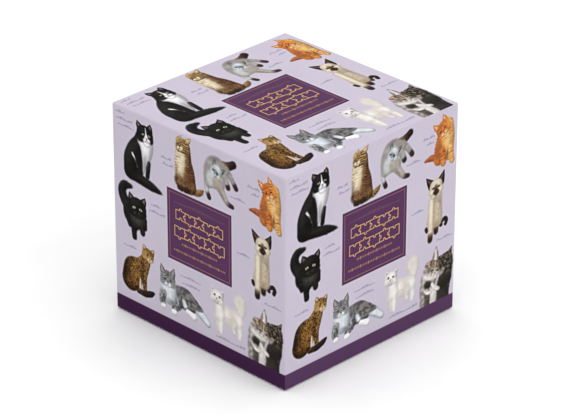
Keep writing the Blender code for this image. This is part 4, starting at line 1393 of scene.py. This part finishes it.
# The rounded knob over the CAD model's five straight runs, each side of its middle
SMOOTH_KNOB = ((5.5, 0.0), (3.4, 0.02), (2.45, 0.25), (2.05, 0.85))
SMOOTH_RADIUS, SMOOTH_ARC, SMOOTH_STEPS = 2.95, 132, 11
SMOOTH_POINTS = 46
OUTLINE_STEP = 1.4
MOST_OFF = 0.05
PRINT_GRID = 1.0
PUZZLE_GREY = (0.60, 0.585, 0.57)
JOINED = re.compile(r"joined_pieces_(\d+)x(\d+)_r(\d+)_c(\d+)")
SINGLE = re.compile(r"jigsaw_piece_r(\d+)_c(\d+)")


class CutLines:
    """The die's wavy grid. A knob on a line points to one side or the other, a little off centre."""

    def __init__(self):
        draw = np.random.default_rng(CUT_SEED)
        across = (PUZZLE_ROWS + 1, PUZZLE_COLUMNS)
        upright = (PUZZLE_ROWS, PUZZLE_COLUMNS + 1)
        self.sides = {"across": draw.choice((-1, 1), across), "upright": draw.choice((-1, 1), upright)}
        self.drift = {
            "across": draw.uniform(-KNOB_DRIFT, KNOB_DRIFT, across),
            "upright": draw.uniform(-KNOB_DRIFT, KNOB_DRIFT, upright),
        }

    def knob(self, fine):
        """(along, off) places round a knob's middle."""
        if not fine:
            turns = [-KNOB_ANGLE + KNOB_ANGLE * k / 2 for k in range(5)]
            round_it = [(KNOB_RADIUS * math.sin(t), KNOB_OFFSET + KNOB_RADIUS * math.cos(t)) for t in turns]
            return [(-NECK_HALF_WIDTH, 0.0), *round_it, (NECK_HALF_WIDTH, 0.0)]
        turns = np.radians(np.linspace(-SMOOTH_ARC, SMOOTH_ARC, SMOOTH_STEPS))
        round_it = [(SMOOTH_RADIUS * math.sin(t), KNOB_OFFSET + SMOOTH_RADIUS * math.cos(t)) for t in turns]
        left = [(-x, y) for x, y in SMOOTH_KNOB]
        return curve_through([*left, *round_it, *SMOOTH_KNOB[::-1]], SMOOTH_POINTS)

    def between(self, kind, row, column, fine):
        """The points between the two corners of one line, from low to high x or y."""
        if kind == "across":
            length, edge = PIECE_WIDTH, row in (0, PUZZLE_ROWS)
        else:
            length, edge = PIECE_DEPTH, column in (0, PUZZLE_COLUMNS)
        if edge:
            return []
        side = self.sides[kind][row, column]
        middle = length * (0.5 + self.drift[kind][row, column])
        found = [(middle + along, side * off) for along, off in self.knob(fine)]
        x, y = column * PIECE_WIDTH, row * PIECE_DEPTH
        if kind == "across":
            return [(x + along, y + off) for along, off in found]
        return [(x + off, y + along) for along, off in found]

    def outline(self, row, column, rows, columns, fine):
        """The outline of a rectangle of joined pieces, anticlockwise."""

        def corner(r, c):
            return (c * PIECE_WIDTH, r * PIECE_DEPTH)

        found = []
        for c in range(column, column + columns):
            found += [corner(row, c), *self.between("across", row, c, fine)]
        for r in range(row, row + rows):
            found += [corner(r, column + columns), *self.between("upright", r, column + columns, fine)]
        for c in reversed(range(column, column + columns)):
            found += [corner(row + rows, c + 1), *self.between("across", row + rows, c, fine)[::-1]]
        for r in reversed(range(row, row + rows)):
            found += [corner(r + 1, column), *self.between("upright", r, column, fine)[::-1]]
        return np.array(found, float)


def spaced(outline, step):
    """The outline again with a point at least every step."""
    found = []
    for a, b in zip(outline, np.roll(outline, -1, axis=0)):
        pieces = max(1, math.ceil(np.hypot(*(b - a)) / step))
        found += [a + (b - a) * k / pieces for k in range(pieces)]
    return np.array(found)


def inset(outline, by):
    """The outline drawn in by a small distance, its corners a little rounded by the averaged normals."""
    run = np.roll(outline, -1, axis=0) - np.roll(outline, 1, axis=0)
    run /= np.maximum(np.hypot(run[:, 0], run[:, 1]), 1e-9)[:, None]
    return outline + np.stack([-run[:, 1], run[:, 0]], axis=1) * by


def seated(node, local):
    """(misfit, turn, move) from a piece's own millimetres to its CAD node's, found from their corners."""
    raw = np.array([v.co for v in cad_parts[node].data.vertices]) / MM
    target = raw[np.unique(np.round(raw, 3), axis=0, return_index=True)[1]]
    middle, own = target.mean(axis=0), local.mean(axis=0)
    axes = np.linalg.svd(target - middle, full_matrices=False)[2]
    own_axes = np.linalg.svd(local - own, full_matrices=False)[2]
    best = (1e9, None, None)
    for signs in ((1, 1, 1), (1, -1, -1), (-1, 1, -1), (-1, -1, 1)):
        for mirror in (1, -1):
            turn = axes.T @ np.diag(signs) @ np.diag((1, 1, mirror)) @ own_axes
            if np.linalg.det(turn) < 0:
                continue
            move = middle - turn @ own
            for _ in range(12):
                moved = local @ turn.T + move
                near = np.linalg.norm(target[:, None] - moved[None], axis=2).argmin(axis=1)
                a, b = local[near], target
                u, _, vt = np.linalg.svd((a - a.mean(axis=0)).T @ (b - b.mean(axis=0)))
                keep = np.diag((1, 1, np.sign(np.linalg.det(vt.T @ u.T))))
                turn = vt.T @ keep @ u.T
                move = b.mean(axis=0) - turn @ a.mean(axis=0)
            moved = local @ turn.T + move
            off = np.linalg.norm(target[:, None] - moved[None], axis=2).min(axis=1).max()
            if off < best[0]:
                best = (off, turn, move)
    return best


def piece_shell(outline, picture, puzzle_origin):
    """(points, faces, colours) of one cut piece, in the puzzle's own millimetres."""
    t = PIECE_THICKNESS
    levels = ((0.16, 0.0), (0.0, 0.16), (0.0, t - 0.34), (0.05, t - 0.14), (0.16, t - 0.03), (0.34, t))
    rings = [np.column_stack([inset(outline, by + KERF), np.full(len(outline), z)]) for by, z in levels]
    count = len(outline)
    points = [tuple(p) for ring in rings for p in ring]
    faces = [tuple(reversed(range(count)))]
    for level in range(len(levels) - 1):
        a, b = level * count, (level + 1) * count
        faces += [(a + k, a + (k + 1) % count, b + (k + 1) % count, b + k) for k in range(count)]
    rim = rings[-1][:, :2]
    inside = grid_inside(rim)
    flat = [Vector(p) for p in rim] + [Vector(p) for p in inside]
    edges = [(k, (k + 1) % count) for k in range(count)]
    made = delaunay_2d_cdt(flat, edges, [list(range(count))], 1, 1e-6)
    first = len(points) - count
    where = {}
    for new, old in enumerate(made[3]):
        where[new] = first + old[0] if old and old[0] < count else None
    for new, place in enumerate(made[0]):
        if where[new] is None:
            where[new] = len(points)
            points.append((place[0], place[1], t))
    faces += [tuple(where[k] for k in face) for face in made[2]]
    points = np.array(points)
    u = points[:, 0] / (PUZZLE_COLUMNS * PIECE_WIDTH)
    v = points[:, 1] / (PUZZLE_ROWS * PIECE_DEPTH)
    printed = sampled(picture, u, v)
    share = smooth(t - 0.30, t - 0.12, points[:, 2])[:, None]
    colours = np.array(PUZZLE_GREY) * (1 - share) + printed * share
    points[:, :2] -= puzzle_origin
    return points, faces, colours


def grid_inside(rim):
    low, high = rim.min(axis=0), rim.max(axis=0)
    x, y = np.meshgrid(np.arange(low[0], high[0], PRINT_GRID), np.arange(low[1], high[1], PRINT_GRID))
    at = np.column_stack([x.ravel() + 0.31 * PRINT_GRID, y.ravel() + 0.27 * PRINT_GRID])
    gap = np.full(len(at), 1e9)
    for x, y in rim:
        gap = np.minimum(gap, np.hypot(at[:, 0] - x, at[:, 1] - y))
    return at[within(at[:, 0], at[:, 1], rim) & (gap > 0.45 * PRINT_GRID)]


def puzzle_pieces(picture):
    cuts = CutLines()
    for name in sorted(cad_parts):
        if found := JOINED.fullmatch(name):
            rows, columns, row, column = map(int, found.groups())
        elif found := SINGLE.fullmatch(name):
            (row, column), rows, columns = map(int, found.groups()), 1, 1
        else:
            continue
        origin = np.array([(column + columns / 2) * PIECE_WIDTH, (row + rows / 2) * PIECE_DEPTH])
        flat = cuts.outline(row, column, rows, columns, False) - origin
        local = np.concatenate([np.column_stack([flat, np.full(len(flat), z)]) for z in (0, PIECE_THICKNESS)])
        off, turn, move = seated(name, local)
        if off > MOST_OFF:
            raise RuntimeError(f"{name}: its cut lines are {off:.2f} mm from the CAD model's")
        points, faces, colours = [], [], []
        for r in range(row, row + rows):
            for c in range(column, column + columns):
                outline = spaced(cuts.outline(r, c, 1, 1, True), OUTLINE_STEP)
                p, f, colour = piece_shell(outline, picture, origin)
                base = sum(len(each) for each in points)
                faces += [tuple(k + base for k in face) for face in f]
                points.append(p)
                colours.append(colour)
        own = np.concatenate(points)
        made = new_object(name.replace("joined_pieces", "cut_pieces").replace("jigsaw_piece", "cut_piece"),
                          (own @ turn.T + move) * MM, faces)
        set_colours(made.data, np.concatenate(colours))
        places = made.data.attributes.new("own_place", "FLOAT_VECTOR", "POINT")
        places.data.foreach_set("vector", (own * MM).astype(np.float32).ravel())
        made.data.materials.append(PUZZLE_BOARD)
        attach(made, "contents")
        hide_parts(name)


def puzzle_board():
    """Print with a fine pressed linen over grey board, and the board's layers on the cut edges."""
    n = Nodes("printed_puzzle_board")
    at = n.attribute("own_place", "Vector")
    fleck = n.noise(900, 3.0, 0.7, at)
    base = n.mix(n.spread(fleck, 0.35, 0.75, 0.0, 0.10), n.attribute("print", "Color"), (0.35, 0.33, 0.31))
    weave = None
    for direction in ("X", "Y"):
        wave = n.add("TexWave", Scale=330.0, Distortion=1.2, Detail=1.0, Detail_Scale=2.0, Vector=at)
        wave.bands_direction = direction
        weave = wave.outputs["Fac"] if weave is None else n.maths("ADD", weave, wave.outputs["Fac"])
    n.bump(n.maths("ADD", weave, n.maths("MULTIPLY", fleck, 0.6)), 0.02 * MM)
    return n.set(Base_Color=base, Roughness=n.spread(fleck, 0.3, 0.7, 0.38, 0.52), Specular_IOR_Level=0.35)


# The bag's shape, in millimetres over a pile of this height. It rises from its rounded foot, up its
# walls to the shoulder, and over the pile to the middle.
BAG_HEIGHT, FOOT_HEIGHT, SHOULDER_HEIGHT, CROWN_RISE = 60.2, 2.0, 54.2, 5.6
FOOT_SHARE, SHOULDER_SHARE = 0.06, 0.55
FOOT_SIZE, WALL_SIZE = 0.70, 0.985
BAG_POINTS, BAG_LEVELS = ((200, 90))

# The crimped seal across the bag's top, in millimetres
SEAL_HALF_LENGTH, SEAL_WIDTH, SEAL_FRONT, SEAL_DROP = 40.0, 9.0, -3.0, 0.95
SEAL_RIDGES, SEAL_THICKNESS = 9, 0.08
SEAL_ALONG, SEAL_ACROSS = 220, 46

# How much the film's long creases and its fine ones move it, how far in it sits, and its least share
CREASE_DEPTH, FINE_DEPTH, FILM_IN, LEAST_SHARE = 0.75, 0.5, 0.55, 0.8
# Over the pile the film sags into hollows and along folds
SAG_DEPTH, FOLD_DEPTH, SAG_LEVEL = 1.8, 1.3, 0.5


def bag_section(share):
    """(size as a share of the bag's half width, height) this far along its wall."""
    if share < FOOT_SHARE:
        rise = share / FOOT_SHARE
        return FOOT_SIZE + (WALL_SIZE - FOOT_SIZE) * math.sin(math.pi / 2 * rise), FOOT_HEIGHT * rise**2
    if share < SHOULDER_SHARE:
        rise = (share - FOOT_SHARE) / (SHOULDER_SHARE - FOOT_SHARE)
        return WALL_SIZE, FOOT_HEIGHT + (SHOULDER_HEIGHT - FOOT_HEIGHT) * rise
    a = math.pi / 2 * (share - SHOULDER_SHARE) / (1 - SHOULDER_SHARE)
    return WALL_SIZE * math.cos(a) ** 0.45 + 1e-3, SHOULDER_HEIGHT + CROWN_RISE * math.sin(a) ** 0.6


def bag():
    """A clear film bag: square, soft at its corners, drawn in over the pile, creased and sealed."""
    low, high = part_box("pieces_bag")
    half, bottom, top = high[0], low[2], high[2]
    turns = np.linspace(0, 2 * math.pi, BAG_POINTS, endpoint=False)
    rings = []
    height = (top - bottom) / MM
    for level in range(BAG_LEVELS + 1):
        size, z = bag_section(level / BAG_LEVELS)
        z = z / BAG_HEIGHT * height
        power = 2 + 7 * min(1.0, size / 0.9) ** 2
        x, y = np.cos(turns), np.sin(turns)
        reach = (np.abs(x) ** power + np.abs(y) ** power) ** (-1 / power)
        radius = size * half / MM * reach
        px, py = radius * x, radius * y
        crease = noise(turns * 40 + 3, np.full_like(turns, z * 0.35), 1.4, 61) - 0.5
        fine = noise(px + 200, py + z * 0.8 + 200, 3.1, 62) - 0.5
        draw_in = CREASE_DEPTH * crease + FINE_DEPTH * fine - FILM_IN
        shrink = np.clip(1 + draw_in / np.maximum(radius, 4), LEAST_SHARE, 1.0)
        over = smooth(52, 58, z)
        crack = 1 - smooth(0.0, 0.25, np.abs(noise(px + 90, py + 90, 9.0, 63) - 0.5) * 2)
        sag = SAG_DEPTH * (noise(px + 50, py + 50, 12.0, 64) - 0.6)
        lift = over * (sag - FOLD_DEPTH * crack - SAG_LEVEL)
        rings.append(list(zip(px * shrink * MM, py * shrink * MM, bottom + (z + np.minimum(lift, 0)) * MM)))
    made = faced_out(new_object("clear_bag", *skin(rings)))
    made.data.materials.append(FILM)
    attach(made, "contents")
    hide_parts("pieces_bag")
    seal()


def seal():
    """The bag's crimped seal, folded down flat over the pile."""
    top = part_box("pieces_bag")[1][2] / MM
    points, faces = [], []
    for k in range(SEAL_ALONG + 1):
        for j in range(SEAL_ACROSS + 1):
            x = -SEAL_HALF_LENGTH + 2 * SEAL_HALF_LENGTH * k / SEAL_ALONG
            share = j / SEAL_ACROSS
            y = SEAL_FRONT + SEAL_WIDTH * share + 0.8 * math.sin(x * 0.11)
            crimp = 0.11 * math.sin(2 * math.pi * share * SEAL_RIDGES) * smooth(0.25, 0.35, share)
            wave = 0.55 * math.sin(x * 0.23 + 1.2) * share + 0.35 * math.sin(x * 0.51) * share
            points.append((x * MM, y * MM, (top - SEAL_DROP + crimp + 0.35 * wave) * MM))
    for k in range(SEAL_ALONG):
        for j in range(SEAL_ACROSS):
            a = k * (SEAL_ACROSS + 1) + j
            faces.append((a, a + SEAL_ACROSS + 1, a + SEAL_ACROSS + 2, a + 1))
    made = new_object("bag_seal", points, faces)
    thick = made.modifiers.new("film", "SOLIDIFY")
    thick.thickness, thick.offset = SEAL_THICKNESS * MM, 0.0
    made.data.materials.append(FILM)
    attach(made, "contents")


def clear_film():
    """Thin clear film: mostly see-through, with sharp glints on its creases and a little haze."""
    n = Nodes("clear_film")
    at = n.place()
    crease = n.noise(130, 5.0, 0.6, at)
    fine = n.noise(700, 3.0, 0.5, at)
    n.bump(n.maths("ADD", crease, n.maths("MULTIPLY", fine, 0.15)), 1.6 * MM, 0.5)
    haze = n.spread(crease, 0.40, 0.75, 0.035, 0.13)
    return n.set(Base_Color=n.mix(crease, (0.90, 0.92, 0.94), (0.97, 0.98, 0.99)), Alpha=haze,
                 Roughness=n.spread(fine, 0.3, 0.7, 0.06, 0.14), Specular_IOR_Level=0.9)


make_camera()
make_studio()

PRINTED_PAPER = printed_paper()
PUZZLE_BOARD = puzzle_board()
FILM = clear_film()
DARK_PAPER = finish("dark_purple_paper", (0.048, 0.015, 0.054), 0.55, grain=(300, 0.12), bump=(2200, 0.02),
                    fibre=(500, (1, 1, 6), 0.25, (0.085, 0.045, 0.095)), Specular_IOR_Level=0.15)
GREYBOARD = finish("greyboard", (0.36, 0.335, 0.30), 0.88, grain=(420, 0.16), bump=(1500, 0.04),
                   fibre=(700, (1, 1, 4), 0.35, (0.20, 0.18, 0.16)), Specular_IOR_Level=0.25)
STAY_PAPER = finish("stay_paper", (0.72, 0.69, 0.63), 0.8, grain=(350, 0.06), bump=(2000, 0.02),
                    fibre=(800, (1, 1, 3), 0.2, (0.60, 0.56, 0.50)), Specular_IOR_Level=0.3)

picture = lid_faces()
tray_paper()
carried_over()
puzzle_pieces(picture)
bag()
